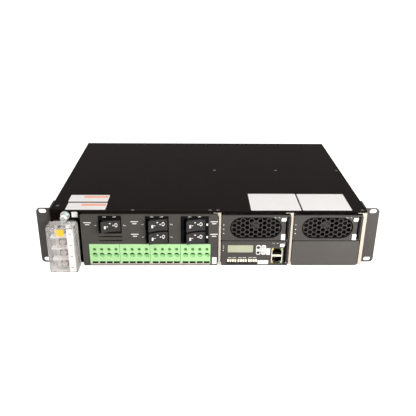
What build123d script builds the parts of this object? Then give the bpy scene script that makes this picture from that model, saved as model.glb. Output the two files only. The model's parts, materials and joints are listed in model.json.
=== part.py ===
from build123d import *
import os
from math import atan2, cos, degrees, radians, sin, sqrt

# Rack power shelf, two rack units high, for a nineteen inch rack. All sizes are millimetres.
# X runs to the right as seen from the front, Y runs to the back and Z runs up.
# The origin is on the underside, halfway across, in the plane where the ears meet the rack posts.

# Small rounds are drawn with flat sides
round_sides = 8
screw_sides = 6
pin_sides = 6
head_sides = 12
fan_sides = 16
oval_sides = 20

# Chassis
body_width = 442.0
body_height = 86.1
body_depth = 310.0
sheet = 1.2
face_stand_off = 10.0
side_flange = 10.0
cover_edge = 0.6
hem_depth = 8.0
wall_chamfer = 9.0
ac_corner_width = 41.0
ac_set_back = 5.5
ac_wall_drop = 14.0

# Rack ears
ear_sheet = 2.0
ear_width = 20.3
ear_foot = 0.8
ear_corner = 5.5
ear_bend = 2.2
ear_flange_depth = 33.0
slot_edge = 8.75
slot_end = 4.55
slot_length = 10.8
slot_width = 6.6

# Screws of the chassis
screw_radius = 1.5
screw_head_radius = 2.8
screw_length = 6.0
screw_clearance = 0.1
ear_screw_radius = 2.0
ear_screw_head = 3.7
ear_screw_count = 3
ear_screw_foot = 16.0
ear_screw_top_gap = 16.1
ear_screw_inset = 12.0

# Dividers and bays
divider_inset = 3.1
bay_count = 2
divider_face = 3.0
divider_flare = 5.4
divider_flare_height = 6.0
divider_tab = 9.0
divider_tab_depth = 17.0
divider_tab_inset = 3.2
rear_tab_y = 164.0
vent_pitch = 15.0
vent_width = 9.0
vent_margin = 5.6
front_screw_y = 4.2
shelf_sheet = 1.0
egg_slot_clearance = 0.1

# Plug-in modules
module_width = 96.0
module_side_gap = 5.2
module_foot = 0.3
module_top_gap = 3.8
row_gap = 1.2
row_count = 2
front_plate = 3.0
front_corner = 1.1
case_rear_gap = 12.0
case_side_step = 2.0
case_step = 0.9
case_wall = 1.0
case_window_count = 5

# Honeycomb grille of a rectifier
grille_side = 11.5
grille_margin = 3.1
grille_recess = 1.2
cell_pitch = 7.0
cell_web = 0.9
smallest_cell_share = 0.5

# Fan of a rectifier
fan_plate = 1.2
fan_ring = 0.9
fan_ring_gap = 0.2
fan_depth = 13.0
fan_hub_radius = 8.0
fan_hub_length = 8.0
fan_gap = 0.6
board_gap = 2.4
blade_count = 7
blade_chord = 8.0
blade_thickness = 1.0
blade_pitch = 45.0
fan_shaft_radius = 1.5
shaft_clearance = 0.1
strut_count = 3
strut_width = 2.4
motor_length = 3.0

# Handle and latch of a module
handle_slot_width = 4.6
handle_slot_inset = 1.6
handle_slot_margin = 1.6
handle_width = 2.0
handle_bar = 3.6
handle_top_margin = 3.4
handle_pivot_z = 6.4
handle_pivot_depth = 4.4
handle_boss = 2.6
pivot_pin_radius = 1.0
pin_clearance = 0.1
latch_knob_width = 6.6
latch_knob_height = 5.0
latch_proud = 1.4
latch_stem = 1.8
latch_travel = 3.0
latch_from_right = 9.4
latch_from_top = 6.2
latch_plate = 1.0
fan_set_back = 6.6
handle_relief = 6.2

# Parts on a rectifier's board
sink_width = 18.0
sink_inset = 4.0
sink_start = 20.0
sink_length = 100.0
sink_base = 6.0
fin_count = 3
fin_thickness = 1.8
transformer_gap = 6.0
transformer_start = 60.0
capacitor_pitch = 16.0
capacitor_width = 12.0
capacitor_length = 50.0
capacitor_end = 37.0

# Parts on the monitoring module's board
chip_size = 24.0
chip_start = 40.0
chip_height = 3.0
coin_inset = 9.0
coin_size = 18.0
coin_start = 30.0
coin_height = 6.0
supply_inset = 7.0
supply_width = 26.0
supply_start = 120.0
supply_length = 70.0

# Backplane and busbars
rear_duct = 29.0
backplane_thickness = 2.4
backplane_top_gap = 1.5
connector_width = 64.0
connector_height = 8.0
connector_depth = 9.0
card_slot = 2.2
card = 1.6
card_z = 7.0
card_tongue = 58.0
board_post = 3.0
card_bite = 7.0
part_head_room = 6.7
air_window_side = 6.0
air_window_foot = 17.0
busbar_thickness = 3.0
busbar_height = 15.0
busbar_short = 12.9
negative_bar_drop = 0.3
positive_bar_z = 2.2
negative_top_gap = 8.9
negative_leg_inset = 19.0
positive_leg_inset = 9.5

# Distribution panel
panel_sheet = 1.5
panel_gap = 1.0
panel_foot = 0.3
panel_top_gap = 2.4
panel_corner = 2.2
panel_flange = 11.0
panel_screw_left = 73.0
panel_screw_right = 11.4
vent_slot_height = 2.0
vent_slot_pitch = 6.0
vent_slot_lift = 0.4

# Circuit breakers
breaker_depth = 61.5
rocker_width = 27.0
rocker_margin = 2.8
rocker_tip = 6.4
rocker_dish = 2.2
rocker_back = 5.0
rocker_back_half = 8.0
rocker_rest_angle = 16.0
rocker_clearance = 0.4
rocker_pin_radius = 1.2
rocker_pin_length = 0.8
window_clearance = 0.2
battery_inset = 40.8
battery_top_margin = 2.0
battery_window_width = 32.4
battery_window_spare = 10.9
battery_rocker_drop = 1.45
battery_body_width = 48.0
load_inset = 32.9
load_column_pitch = 52.7
load_window_width = 33.0
load_last_window_width = 39.4
load_rows = 2
load_gap = 1.2
load_top_margin = 2.7
load_legend = 3.2
load_body_width = 39.4
terminal_stud = 1.5
terminal_stud_radius = 3.0

# Pluggable terminals of the outputs
plug_poles = 4
pole_pitch = 10.16
pole_offset = 1.0
plug_width = 42.6
plug_gap = 0.45
plug_height = 30.6
plug_foot = 4.4
plug_depth = 22.0
plug_proud = 1.0
plug_inset = 9.8
plug_window_gap = 0.4
wire_funnel_radius = 3.8
wire_radius = 2.65
wire_funnel_depth = 3.0
wire_depth = 14.0
wire_z = 13.2
screw_hole_radius = 2.2
screw_hole_depth = 9.0
screw_hole_z = 22.6
key_slot_width = 8.6
key_slot_height = 3.2
key_slot_depth = 6.0
pin_size = 2.0
pin_room = 0.3
pin_length = 6.0
header_depth = 11.0
header_gap = 0.3

# Alternating current terminals and their clear cover
pole_count = 4
ac_end_gap = 0.2
ac_block_width = 38.6
ac_top_gap = 12.9
ac_block_foot = 1.6
ac_overhang = 0.8
ac_block_front = -1.5
ac_base_depth = 25.0
ac_base_flange = 3.0
ac_base_inset = 3.4
ac_pedestal_width = 22.0
ac_pedestal = 6.5
ac_rib = 2.0
ac_rib_reach = 14.5
ac_rib_width = 31.0
ac_screw_shift = -0.5
ac_clamp = 10.4
ac_clamp_thickness = 1.4
ac_head_radius = 4.2
ac_head_height = 2.8
ac_thread_radius = 2.5
ac_thread_length = 12.0
cover_wall = 1.6
cover_protrusion = 22.6
cover_seat_gap = 0.2
cover_notch_width = 14.0
cover_notch_depth = 4.5
cover_notch_shift = 0.5
cable_slot_width = 22.0
cable_slot_depth = 16.0
ground_shift = 2.1
ground_drop = 6.7
ground_washer_radius = 6.6
ground_washer = 1.6
ground_head_radius = 5.0
ground_head_height = 4.6
ground_shank_radius = 3.0
ground_shank = 8.5
ground_tail = 9.0
ground_slot = 1.2

# Monitoring module
lcd_left = 9.15
lcd_drop = 12.5
lcd_key_gap = 6.95
lcd_height = 12.4
lcd_frame = 2.0
lcd_thickness = 4.0
lcd_set_back = 0.8
key_pitch = 7.5
key_port_gap = 19.5
key_rows = (1.6, 9.7)
key_names = (("key_down", "key_up"), ("key_enter", "key_escape"))
key_radius = 2.2
key_clearance = 0.25
key_proud = 0.9
key_flange = 0.9
key_flange_thickness = 1.0
port_inset = 15.9
port_width = 18.4
port_foot = 4.2
port_top_margin = 10.8
port_depth = 18.0
port_proud = 0.4
port_cavity_width = 12.4
port_bar = 3.4
port_rim = 1.4
port_cavity_depth = 14.0
port_key_width = 5.6
port_key_height = 1.8
alarm_left = 8.3
alarm_z = 6.8
alarm_label_room = 12.0
alarm_poles = 4
alarm_pole_pitch = 3.5
alarm_group_gap = 1.0
alarm_height = 8.0
alarm_depth = 14.0
alarm_wire_radius = 0.9
lever_width = 2.6
lever_height = 4.0
lever_proud = 1.4
fit_gap = 0.25

# Blank panel
blank_depth = 15.0
blank_corner = 2.8

# Chassis places worked out from the sizes above
wall_x = body_width / 2
face_y = -(ear_sheet + face_stand_off)
rear_y = face_y + body_depth
floor_front_y = -ear_sheet
roof_z = body_height - sheet
hem_z = roof_z - sheet
ac_right_x = -wall_x + ac_corner_width
ac_face_y = face_y + ac_set_back
ear_screw_span = body_height - ear_screw_top_gap - ear_screw_foot
ear_screw_rows = [ear_screw_foot + ear_screw_span * i / (ear_screw_count - 1) for i in range(ear_screw_count)]

# Bays and modules worked out
bay_pitch = module_width + module_side_gap
divider_xs = [wall_x - divider_inset - bay_pitch * (bay_count - i) for i in range(bay_count + 1)]
bay_xs = [left + bay_pitch / 2 for left in divider_xs[:bay_count]]
module_height = (hem_z - module_foot - module_top_gap - row_gap * (row_count - 1)) / row_count
row_zs = [module_foot + (module_height + row_gap) * i for i in range(row_count)]
board_y = face_y + body_depth - rear_duct
case_y = face_y + front_plate
case_depth = board_y - case_rear_gap - face_y
case_rear_y = case_y + case_depth
case_width = module_width - 2 * case_side_step
case_height = module_height - 2 * case_step
shelf_z = row_zs[1] + case_step - shelf_sheet
grille_width = module_width - 2 * grille_side
grille_height = module_height - 2 * grille_margin
vent_count = int(module_width // vent_pitch)
fan_bore_radius = case_height / 2 - case_wall - fan_ring_gap - fan_ring
handle_length = module_height - handle_top_margin - handle_pivot_z
part_height = case_step + case_height - case_wall - card_z - card - part_head_room
air_window_width = module_width - 2 * air_window_side
air_window_height = module_height - air_window_foot - 2 * case_wall - sheet
card_half = case_width / 2 - 3 * case_wall
sink_from_middle = card_half - sink_inset - sink_width
transformer_width = 2 * (sink_from_middle - transformer_gap)
capacitor_count = int(2 * card_half // capacitor_pitch)
port_height = module_height - port_foot - port_top_margin
port_z = port_foot + port_height / 2
port_cavity_height = (port_height - port_bar - 2 * (port_key_height + port_rim)) / 2
port_pitch = port_cavity_height + port_bar
port_x = module_width / 2 - port_inset
key_columns = (port_x - key_port_gap - key_pitch, port_x - key_port_gap)
lcd_width = key_columns[0] - lcd_key_gap - lcd_left + module_width / 2
lcd_x = lcd_left + lcd_width / 2 - module_width / 2
alarm_group_pitch = alarm_poles * alarm_pole_pitch + alarm_group_gap
alarm_room = module_width / 2 + port_x - port_width / 2 - alarm_left - alarm_label_room
alarm_groups = int(alarm_room // alarm_group_pitch)
alarm_width = alarm_groups * alarm_group_pitch - alarm_group_gap
alarm_x = alarm_left + alarm_width / 2 - module_width / 2

# Distribution panel worked out
panel_left = ac_right_x + panel_gap
panel_right = divider_xs[0] - divider_face / 2 - panel_gap
panel_top = hem_z - panel_top_gap
panel_screw_xs = (panel_left + panel_screw_left, panel_right - panel_screw_right)
plug_left = panel_left + plug_inset
plug_pitch = plug_width + plug_gap
plug_count = int((panel_right - plug_left) // plug_pitch)
plug_xs = [plug_left + plug_width / 2 + plug_pitch * i for i in range(plug_count)]
pole_shifts = [pole_offset + pole_pitch * (i - (plug_poles - 1) / 2) for i in range(plug_poles)]
plug_top = plug_foot + plug_height
load_foot = plug_top + load_gap
load_cell = (panel_top - load_top_margin - load_legend - load_foot) / load_rows
load_zs = [load_foot + load_cell * (i + 0.5) for i in range(load_rows)]
rocker_height = load_cell - rocker_margin
battery_x = panel_left + battery_inset
load_last_x = panel_right - load_inset
load_room = load_last_x - load_body_width / 2 - battery_x - battery_body_width / 2
load_columns = int(load_room // load_column_pitch) + 1
load_xs = [load_last_x - load_column_pitch * (load_columns - 1 - i) for i in range(load_columns)]
load_window_widths = [load_window_width] * (load_columns - 1) + [load_last_window_width]
battery_window_height = rocker_height + battery_window_spare
battery_window_foot = panel_top - battery_top_margin - battery_window_height
battery_z = battery_window_foot + battery_window_height / 2 - battery_rocker_drop
vent_slot_middle = (plug_top + battery_window_foot) / 2 + vent_slot_lift
vent_slot_zs = (vent_slot_middle - vent_slot_pitch / 2, vent_slot_middle + vent_slot_pitch / 2)
negative_bar_z = row_zs[1] - negative_bar_drop
negative_front_height = panel_top - negative_top_gap - negative_bar_z
negative_leg_x = divider_xs[0] - negative_leg_inset
positive_leg_x = divider_xs[0] - positive_leg_inset
busbar_reach = divider_xs[-1] - busbar_short

# Terminal corner worked out
ac_front_y = face_y + ac_block_front
ac_block_left = -wall_x - ac_overhang
ac_middle_x = ac_block_left + ac_block_width / 2
ac_top_z = hem_z - ac_top_gap
ac_block_height = ac_top_z - ac_block_foot
ac_middle_z = ac_block_foot + ac_block_height / 2
ac_pole_pitch = (ac_block_height - 2 * ac_end_gap) / pole_count
ac_pole_zs = [ac_middle_z - ac_pole_pitch * (i - (pole_count - 1) / 2) for i in range(pole_count)]
ac_screw_x = ac_middle_x + ac_screw_shift
cover_notch_x = ac_middle_x + cover_notch_shift
ground_x = ac_middle_x + ground_shift
ground_z = hem_z - ground_drop


def block(x0, x1, y0, y1, z0, z1):
    """Box between two opposite corners."""
    return Pos((x0 + x1) / 2, (y0 + y1) / 2, (z0 + z1) / 2) * Box(x1 - x0, y1 - y0, z1 - z0)


def from_front(sketch, y_front, depth):
    """Solid of a sketch in X and Z, as seen from the front, raised backwards from y_front."""
    return extrude(Plane.XZ.offset(-y_front) * sketch, amount=-depth)


def from_side(sketch, x_left, width):
    """Solid of a sketch in Y and Z, raised to the right from x_left."""
    return extrude(Plane.YZ.offset(x_left) * sketch, amount=width)


def from_below(sketch, z_low, height):
    """Solid of a sketch in X and Y, raised from z_low."""
    return extrude(Plane.XY.offset(z_low) * sketch, amount=height)


def peg(radius, sides=round_sides):
    """Flat-sided round that lies inside its circle."""
    return RegularPolygon(radius, sides)


def bore(radius, sides=round_sides):
    """Flat-sided round that lies outside its circle, so that a peg of that radius always enters."""
    return RegularPolygon(radius, sides, major_radius=False)


def tapered(shape, low_radius, high_radius, height):
    """Cone with flat sides that widens along Z."""
    flat = shape(1.0).edges()[0].center().length
    slope = degrees(atan2(flat * (high_radius - low_radius), height))
    return Pos(0, 0, height) * Rot(X=180) * extrude(shape(high_radius), amount=height, taper=slope)


def rod_y(x, z, radius, y0, y1, shape=peg):
    """Rod along Y."""
    return from_front(Pos(x, z) * shape(radius), y0, y1 - y0)


def rod_x(y, z, radius, x0, x1, shape=peg):
    """Rod along X."""
    return from_side(Pos(y, z) * shape(radius), x0, x1 - x0)


def rod_z(x, y, radius, z0, z1, shape=peg):
    """Rod along Z."""
    return from_below(Pos(x, y) * shape(radius), z0, z1 - z0)


def rectangle_at(x0, x1, z0, z1):
    """Flat rectangle between two corners."""
    return Pos((x0 + x1) / 2, (z0 + z1) / 2) * Rectangle(x1 - x0, z1 - z0)


def cover_screw_places():
    """X and Y of each screw in the top cover."""
    places = [(x - divider_tab_inset, face_y + front_screw_y) for x in divider_xs]
    places += [(x - divider_tab_inset, face_y + rear_tab_y) for x in divider_xs]
    places += [(x, face_y + front_screw_y) for x in panel_screw_xs]
    places.append((-wall_x + side_flange - 2 * screw_radius + sheet, ac_face_y + hem_depth + 2 * screw_head_radius))
    return places


def screw_peg(radius):
    """Section of a screw."""
    return peg(radius, screw_sides)


def screw_bore(radius):
    """Section of a screw's hole."""
    return bore(radius, screw_sides)


def pin_peg(radius):
    """Section of a pin or shaft."""
    return peg(radius, pin_sides)


def pin_bore(radius):
    """Section of the hole that a pin or shaft turns in."""
    return bore(radius, pin_sides)


def head_peg(radius):
    """Section of a large screw's head."""
    return peg(radius, head_sides)


def screw_down(x, y, room=0.0):
    """Countersunk screw of the lid, its head flush with the lid, or its hole where room is given."""
    shape = screw_bore if room else screw_peg
    head = screw_head_radius - screw_radius
    cone = tapered(shape, screw_radius + room, screw_head_radius + room, head)
    shank = rod_z(x, y, screw_radius + room, body_height - screw_length, body_height - head, shape)
    return Pos(x, y, body_height - head) * cone + shank


def hexagon_field(x_centre, z_centre):
    """Hexagonal cells with flats up and down, in rows and columns that cover the grille."""
    radius = (cell_pitch - cell_web) / sqrt(3)
    column_step = cell_pitch * sqrt(3) / 2
    columns = int(grille_width / 2 / column_step) + 1
    rows = int(grille_height / 2 / cell_pitch) + 1
    cells = []
    for column in range(-columns, columns + 1):
        lift = cell_pitch / 2 if column % 2 else 0.0
        for row in range(-rows, rows + 1):
            x = x_centre + column * column_step
            z = z_centre + row * cell_pitch + lift
            cells.append(Pos(x, z) * RegularPolygon(radius, 6))
    return cells


def pierced(outline, holes, y_front, depth):
    """Plate with the outline of one sketch, pierced by many sketches that don't touch each other."""
    inner = [hole.faces()[0].outer_wire() for hole in holes]
    outer = outline.faces()[0].outer_wire()
    return from_front(Sketch(Face(outer, inner).wrapped), y_front, depth)


def make_chassis_tray():
    """Folded floor, side walls and rear wall, with vent slots behind the rectifier positions."""
    inner = wall_x - sheet
    floor = block(-wall_x, wall_x, floor_front_y, rear_y, 0, sheet)
    left = block(-wall_x, -inner, ac_face_y, rear_y, 0, roof_z)
    right = block(inner, wall_x, face_y + sheet, rear_y, 0, roof_z)
    corner = Polygon((face_y, 0), (floor_front_y, 0), (face_y, wall_chamfer), align=None)
    vents = []
    for x, z_low in ((bay_xs[0], row_zs[1]), (bay_xs[1], row_zs[0]), (bay_xs[1], row_zs[1])):
        for i in range(vent_count):
            middle = x + vent_pitch * (i - (vent_count - 1) / 2)
            vents.append(rectangle_at(middle - vent_width / 2, middle + vent_width / 2,
                                      z_low + vent_margin, z_low + module_height - vent_margin))
    rear = pierced(rectangle_at(-wall_x, wall_x, 0, roof_z), vents, rear_y - sheet, sheet)
    tray = floor + (left + right - from_side(corner, -wall_x, body_width)) + rear
    tray += block(-inner, side_flange - inner, ac_face_y + hem_depth + fit_gap, rear_y - sheet, hem_z, roof_z)
    tray += block(-inner, inner, rear_y - sheet - side_flange, rear_y - sheet, hem_z, roof_z)
    ac_wall_y = ac_face_y + sheet
    tray += block(-inner, ac_right_x, ac_wall_y, ac_wall_y + sheet, hem_z - ac_wall_drop, hem_z)
    tray -= rod_y(ground_x, ground_z, ground_shank_radius + screw_clearance, ac_wall_y, ac_wall_y + sheet, bore)
    for x0, x1 in ((-wall_x, -inner), (inner, wall_x)):
        for z in ear_screw_rows:
            y = ear_flange_depth - ear_screw_inset
            tray -= rod_x(y, z, ear_screw_radius + screw_clearance, x0, x1, screw_bore)
    x, y = cover_screw_places()[-1]
    return tray - screw_down(x, y, screw_clearance)


def lid_strip(x0, x1, y_front, z_low):
    """Front strip of the lid with a bevelled nose."""
    profile = rectangle_at(y_front, y_front + hem_depth, z_low, body_height)
    corners = [corner for corner in profile.vertices() if corner.X < y_front + cover_edge]
    edge = min(cover_edge, (body_height - z_low) / 2 - screw_clearance)
    return from_side(chamfer(corners, edge), x0, x1 - x0)


def make_top_cover():
    """Flat lid with a hemmed front edge that steps back round the terminal corner."""
    inner = wall_x - sheet - screw_clearance
    lid = block(ac_right_x, wall_x, face_y + hem_depth, rear_y, roof_z, body_height)
    lid += block(-wall_x, ac_right_x, ac_face_y + hem_depth, rear_y, roof_z, body_height)
    lid += lid_strip(-wall_x, -inner, ac_face_y, roof_z)
    lid += lid_strip(-inner, ac_right_x, ac_face_y, hem_z)
    lid += lid_strip(ac_right_x, inner, face_y, hem_z)
    lid += lid_strip(inner, wall_x, face_y, roof_z)
    section = rectangle_at(-wall_x, wall_x, hem_z, body_height)
    corners = [corner for corner in section.vertices() if corner.Y > roof_z]
    lid &= from_front(chamfer(corners, cover_edge), face_y, body_depth)
    for x, y in cover_screw_places():
        lid -= screw_down(x, y, screw_clearance)
    return lid


def make_ear(side):
    """Angle with two slots for the rack and a flange that lies on the side of the chassis."""
    half_span = wall_x + ear_width
    plate = block(wall_x, half_span, -ear_sheet, 0, ear_foot, body_height)
    corners = [edge for edge in plate.edges().filter_by(Axis.Y) if edge.center().X > half_span - 0.01]
    plate = fillet(corners, ear_corner)
    flange = block(wall_x, wall_x + ear_sheet, -ear_sheet, ear_flange_depth - ear_sheet, ear_foot, body_height)
    corners = [edge for edge in flange.edges().filter_by(Axis.X) if edge.center().Y > 0]
    ear = plate + chamfer(corners, ear_corner)
    bend = [edge for edge in ear.edges().filter_by(Axis.Z)
            if abs(edge.center().X - wall_x) < 0.01 and edge.center().Y < -ear_sheet / 2]
    ear = fillet(bend, ear_bend)
    for z in (ear_foot + slot_end, body_height - slot_end):
        slot = Pos(half_span - slot_edge, z) * SlotOverall(slot_length, slot_width)
        ear -= from_front(slot, -ear_sheet, ear_sheet)
    for z in ear_screw_rows:
        ear -= ear_screw(z, screw_clearance)
    return ear if side > 0 else mirror(ear, Plane.YZ)


def ear_screw(z, room=0.0):
    """Countersunk screw through the right ear's flange and the side wall, or its hole where room is given."""
    y = ear_flange_depth - ear_screw_inset
    shape = screw_bore if room else screw_peg
    head = ear_screw_head - ear_screw_radius
    outer = wall_x + ear_sheet
    cone = tapered(shape, ear_screw_radius + room, ear_screw_head + room, head)
    shank = rod_x(y, z, ear_screw_radius + room, wall_x - sheet, outer - head, shape)
    return Pos(outer - head, y, z) * Rot(Y=90) * Rot(Z=90) * cone + shank


def make_chassis_screws():
    """Every countersunk screw of the lid and the ears, as separate solids."""
    screws = [screw_down(x, y) for x, y in cover_screw_places()]
    for z in ear_screw_rows:
        right = ear_screw(z)
        screws += [right, mirror(right, Plane.YZ)]
    return Compound(children=[screw.solid() for screw in screws])


def make_divider(index):
    """Folded strip that parts two bays, with a bright front edge flared at its top."""
    x_left = divider_xs[index] - divider_face / 2
    wall = block(x_left, x_left + sheet, face_y, board_y, sheet, hem_z)
    face_right = x_left + divider_face if index < 2 else wall_x
    front = block(x_left, face_right, face_y, face_y + sheet, module_foot + sheet, hem_z)
    flare = Polygon(
        (x_left + divider_face, hem_z), (x_left + divider_face - divider_flare, hem_z),
        (x_left, hem_z - divider_flare_height), (x_left + divider_face, hem_z - divider_flare_height), align=None)
    divider = wall + front + from_front(flare, face_y, sheet)
    front_tab = (face_y + sheet, face_y + hem_depth, hem_z - sheet, hem_z)
    rear_middle = face_y + rear_tab_y
    rear_tab = (rear_middle - divider_tab_depth / 2, rear_middle + divider_tab_depth / 2, hem_z, roof_z)
    for y0, y1, z0, z1 in (front_tab, rear_tab):
        divider += block(x_left + sheet - divider_tab, x_left + sheet, y0, y1, z0, z1)
    for x, y in cover_screw_places():
        if x_left - divider_tab < x < x_left:
            divider -= screw_down(x, y, screw_clearance)
    if index == 1:
        half = (face_y + front_plate + board_y) / 2
        low = shelf_z - egg_slot_clearance
        divider -= block(x_left, x_left + sheet, half, board_y, low, shelf_z + shelf_sheet + egg_slot_clearance)
    return divider


def make_bay_shelf():
    """Sheet between the two rows of modules, half-lapped with the middle divider."""
    x0 = divider_xs[0] - divider_face / 2 + sheet
    x1 = divider_xs[2] - divider_face / 2
    y0 = case_y + front_plate
    shelf = block(x0, x1, y0, board_y, shelf_z, shelf_z + shelf_sheet)
    middle = divider_xs[1] - divider_face / 2
    half = (face_y + front_plate + board_y) / 2
    shelf -= block(middle - egg_slot_clearance, middle + sheet + egg_slot_clearance, y0, half,
                   shelf_z, shelf_z + shelf_sheet)
    return shelf


def make_backplane_board():
    """Board behind the bays, with an air window behind each rectifier position."""
    x0 = divider_xs[0] - divider_face / 2
    board = rectangle_at(x0, wall_x - sheet, sheet, hem_z - backplane_top_gap)
    windows = []
    for x in bay_xs:
        for z_low in row_zs:
            foot = z_low + air_window_foot
            windows.append(rectangle_at(x - air_window_width / 2, x + air_window_width / 2,
                                        foot, foot + air_window_height))
    return pierced(board, windows, board_y, backplane_thickness)


def make_backplane_connectors():
    """Card-edge connectors on the backplane, one for each module position."""
    connectors = []
    for x in bay_xs:
        for z_low in row_zs:
            middle = z_low + card_z + card / 2
            outer = block(x - connector_width / 2, x + connector_width / 2, board_y - connector_depth, board_y,
                          middle - connector_height / 2, middle + connector_height / 2)
            slot = block(x - connector_width / 2 + sheet, x + connector_width / 2 - sheet,
                         board_y - connector_depth, board_y - sheet, middle - card_slot / 2, middle + card_slot / 2)
            connectors.append((outer - slot).solid())
    return Compound(children=connectors)


def make_busbar(z_low, leg_x, front_y, reach_left, front_height):
    """Copper bar along the backplane, forward beside the first bay and along the front devices."""
    rear = board_y + backplane_thickness
    top = z_low + busbar_height
    bar = block(leg_x, busbar_reach, rear, rear + busbar_thickness, z_low, top)
    bar += block(leg_x, leg_x + busbar_thickness, front_y, rear + busbar_thickness, z_low, top)
    bar += block(reach_left, leg_x + busbar_thickness, front_y, front_y + busbar_thickness,
                 z_low, z_low + front_height)
    return bar


def make_distribution_panel():
    """Front panel of the outputs, with windows for breakers and terminals and a flange for the lid."""
    outline = Pos((panel_left + panel_right) / 2, (panel_foot + panel_top) / 2) * RectangleRounded(
        panel_right - panel_left, panel_top - panel_foot, panel_corner)
    holes = [Pos(battery_x, battery_window_foot + battery_window_height / 2)
             * Rectangle(battery_window_width, battery_window_height)]
    load_top = load_foot + load_rows * load_cell + load_legend
    for x, width in zip(load_xs, load_window_widths):
        holes.append(rectangle_at(x - width / 2, x + width / 2, load_foot, load_top))
    plug_right = plug_xs[-1] + plug_width / 2
    gap = plug_window_gap
    holes.append(rectangle_at(plug_left - gap, plug_right + gap, plug_foot - gap, plug_top + gap / 4))
    for z in vent_slot_zs:
        holes.append(Pos(battery_x, z) * Rectangle(battery_window_width, vent_slot_height))
    panel = pierced(outline, holes, face_y, panel_sheet)
    flange = block(panel_left + panel_corner, panel_right - panel_corner, face_y + panel_sheet,
                   face_y + panel_flange, panel_top - sheet, panel_top)
    for x in panel_screw_xs:
        flange -= screw_down(x, face_y + front_screw_y, screw_clearance)
    return panel + flange


def rocker_recess(x, z):
    """Hollow that a rocker turns in, with sockets for its pins."""
    turn = radians(rocker_rest_angle)
    half = rocker_width / 2 * cos(turn) + rocker_tip * sin(turn) + rocker_clearance
    height = rocker_height + 2 * rocker_clearance
    depth = rocker_back_half * sin(turn) + rocker_back * cos(turn) + 2 * rocker_clearance
    hollow = block(x - half, x + half, face_y, face_y + panel_sheet + depth, z - height / 2, z + height / 2)
    reach = height / 2 + rocker_pin_length
    return hollow + rod_z(x, face_y + panel_sheet, rocker_pin_radius + pin_clearance, z - reach, z + reach, pin_bore)


def make_breaker(x, z, body_width_x, body_z0, body_z1, nose_width, nose_z0, nose_z1):
    """Breaker case behind the panel, its nose in the panel's window, with a stud at its back."""
    y0 = face_y + panel_sheet
    rear = face_y + breaker_depth
    body = block(x - body_width_x / 2, x + body_width_x / 2, y0, rear, body_z0, body_z1)
    nose = block(x - nose_width / 2 + window_clearance, x + nose_width / 2 - window_clearance,
                 face_y, y0, nose_z0 + window_clearance, nose_z1 - window_clearance)
    stud_z = (max(body_z0, negative_bar_z) + min(body_z1, negative_bar_z + negative_front_height)) / 2
    stud = rod_y(x, stud_z, terminal_stud_radius, rear, rear + terminal_stud, pin_peg)
    return body + nose + stud - rocker_recess(x, z)


def make_rocker(x, z):
    """Dished rocker on two pins, at rest with its left end standing out."""
    half = rocker_width / 2
    tip = (half, -rocker_tip)
    dish = ThreePointArc((-half, -rocker_tip), (0, rocker_dish - rocker_tip), tip)
    right = Line(tip, (rocker_back_half, rocker_back))
    heel = Line((rocker_back_half, rocker_back), (-rocker_back_half, rocker_back))
    left = Line((-rocker_back_half, rocker_back), (-half, -rocker_tip))
    profile = make_face(Curve() + [dish, right, heel, left])
    rocker = extrude(profile, amount=rocker_height / 2, both=True)
    reach = rocker_height / 2 + rocker_pin_length + rocker_clearance / 2
    pins = rod_z(0, 0, rocker_pin_radius, -reach, reach, pin_peg)
    return Pos(x, face_y + panel_sheet, z) * Rot(Z=rocker_rest_angle) * (rocker + pins)


def make_plug(index):
    """Pluggable terminal: wire funnels below, screw holes above and a keyed slot under each pole."""
    x_middle = plug_xs[index]
    y0 = face_y - plug_proud
    body = block(x_middle - plug_width / 2, x_middle + plug_width / 2, y0, y0 + plug_depth,
                 plug_foot, plug_top)
    for shift in pole_shifts:
        x = x_middle + shift
        z = plug_foot + wire_z
        funnel = tapered(bore, wire_radius, wire_funnel_radius, wire_funnel_depth)
        body -= Pos(x, y0 + wire_funnel_depth, z) * Rot(X=90) * funnel
        body -= rod_y(x, z, wire_radius, y0 + wire_funnel_depth, y0 + wire_depth, bore)
        body -= rod_y(x, plug_foot + screw_hole_z, screw_hole_radius, y0, y0 + screw_hole_depth, screw_bore)
        body -= block(x - key_slot_width / 2, x + key_slot_width / 2, y0, y0 + key_slot_depth,
                      plug_foot, plug_foot + key_slot_height)
        room = pin_size / 2 + pin_room
        body -= block(x - room, x + room, y0 + plug_depth - pin_length - pin_room, y0 + plug_depth,
                      z - room, z + room)
    return body


def make_dc_header():
    """Fixed socket strip behind the plugs, standing on the floor, with one pin for each pole."""
    y0 = face_y - plug_proud + plug_depth + header_gap
    header = block(plug_left, plug_xs[-1] + plug_width / 2, y0, y0 + header_depth, sheet, plug_top)
    for x_middle in plug_xs:
        for shift in pole_shifts:
            x = x_middle + shift
            z = plug_foot + wire_z
            header += block(x - pin_size / 2, x + pin_size / 2, y0 - pin_length, y0,
                            z - pin_size / 2, z + pin_size / 2)
    return header


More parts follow.
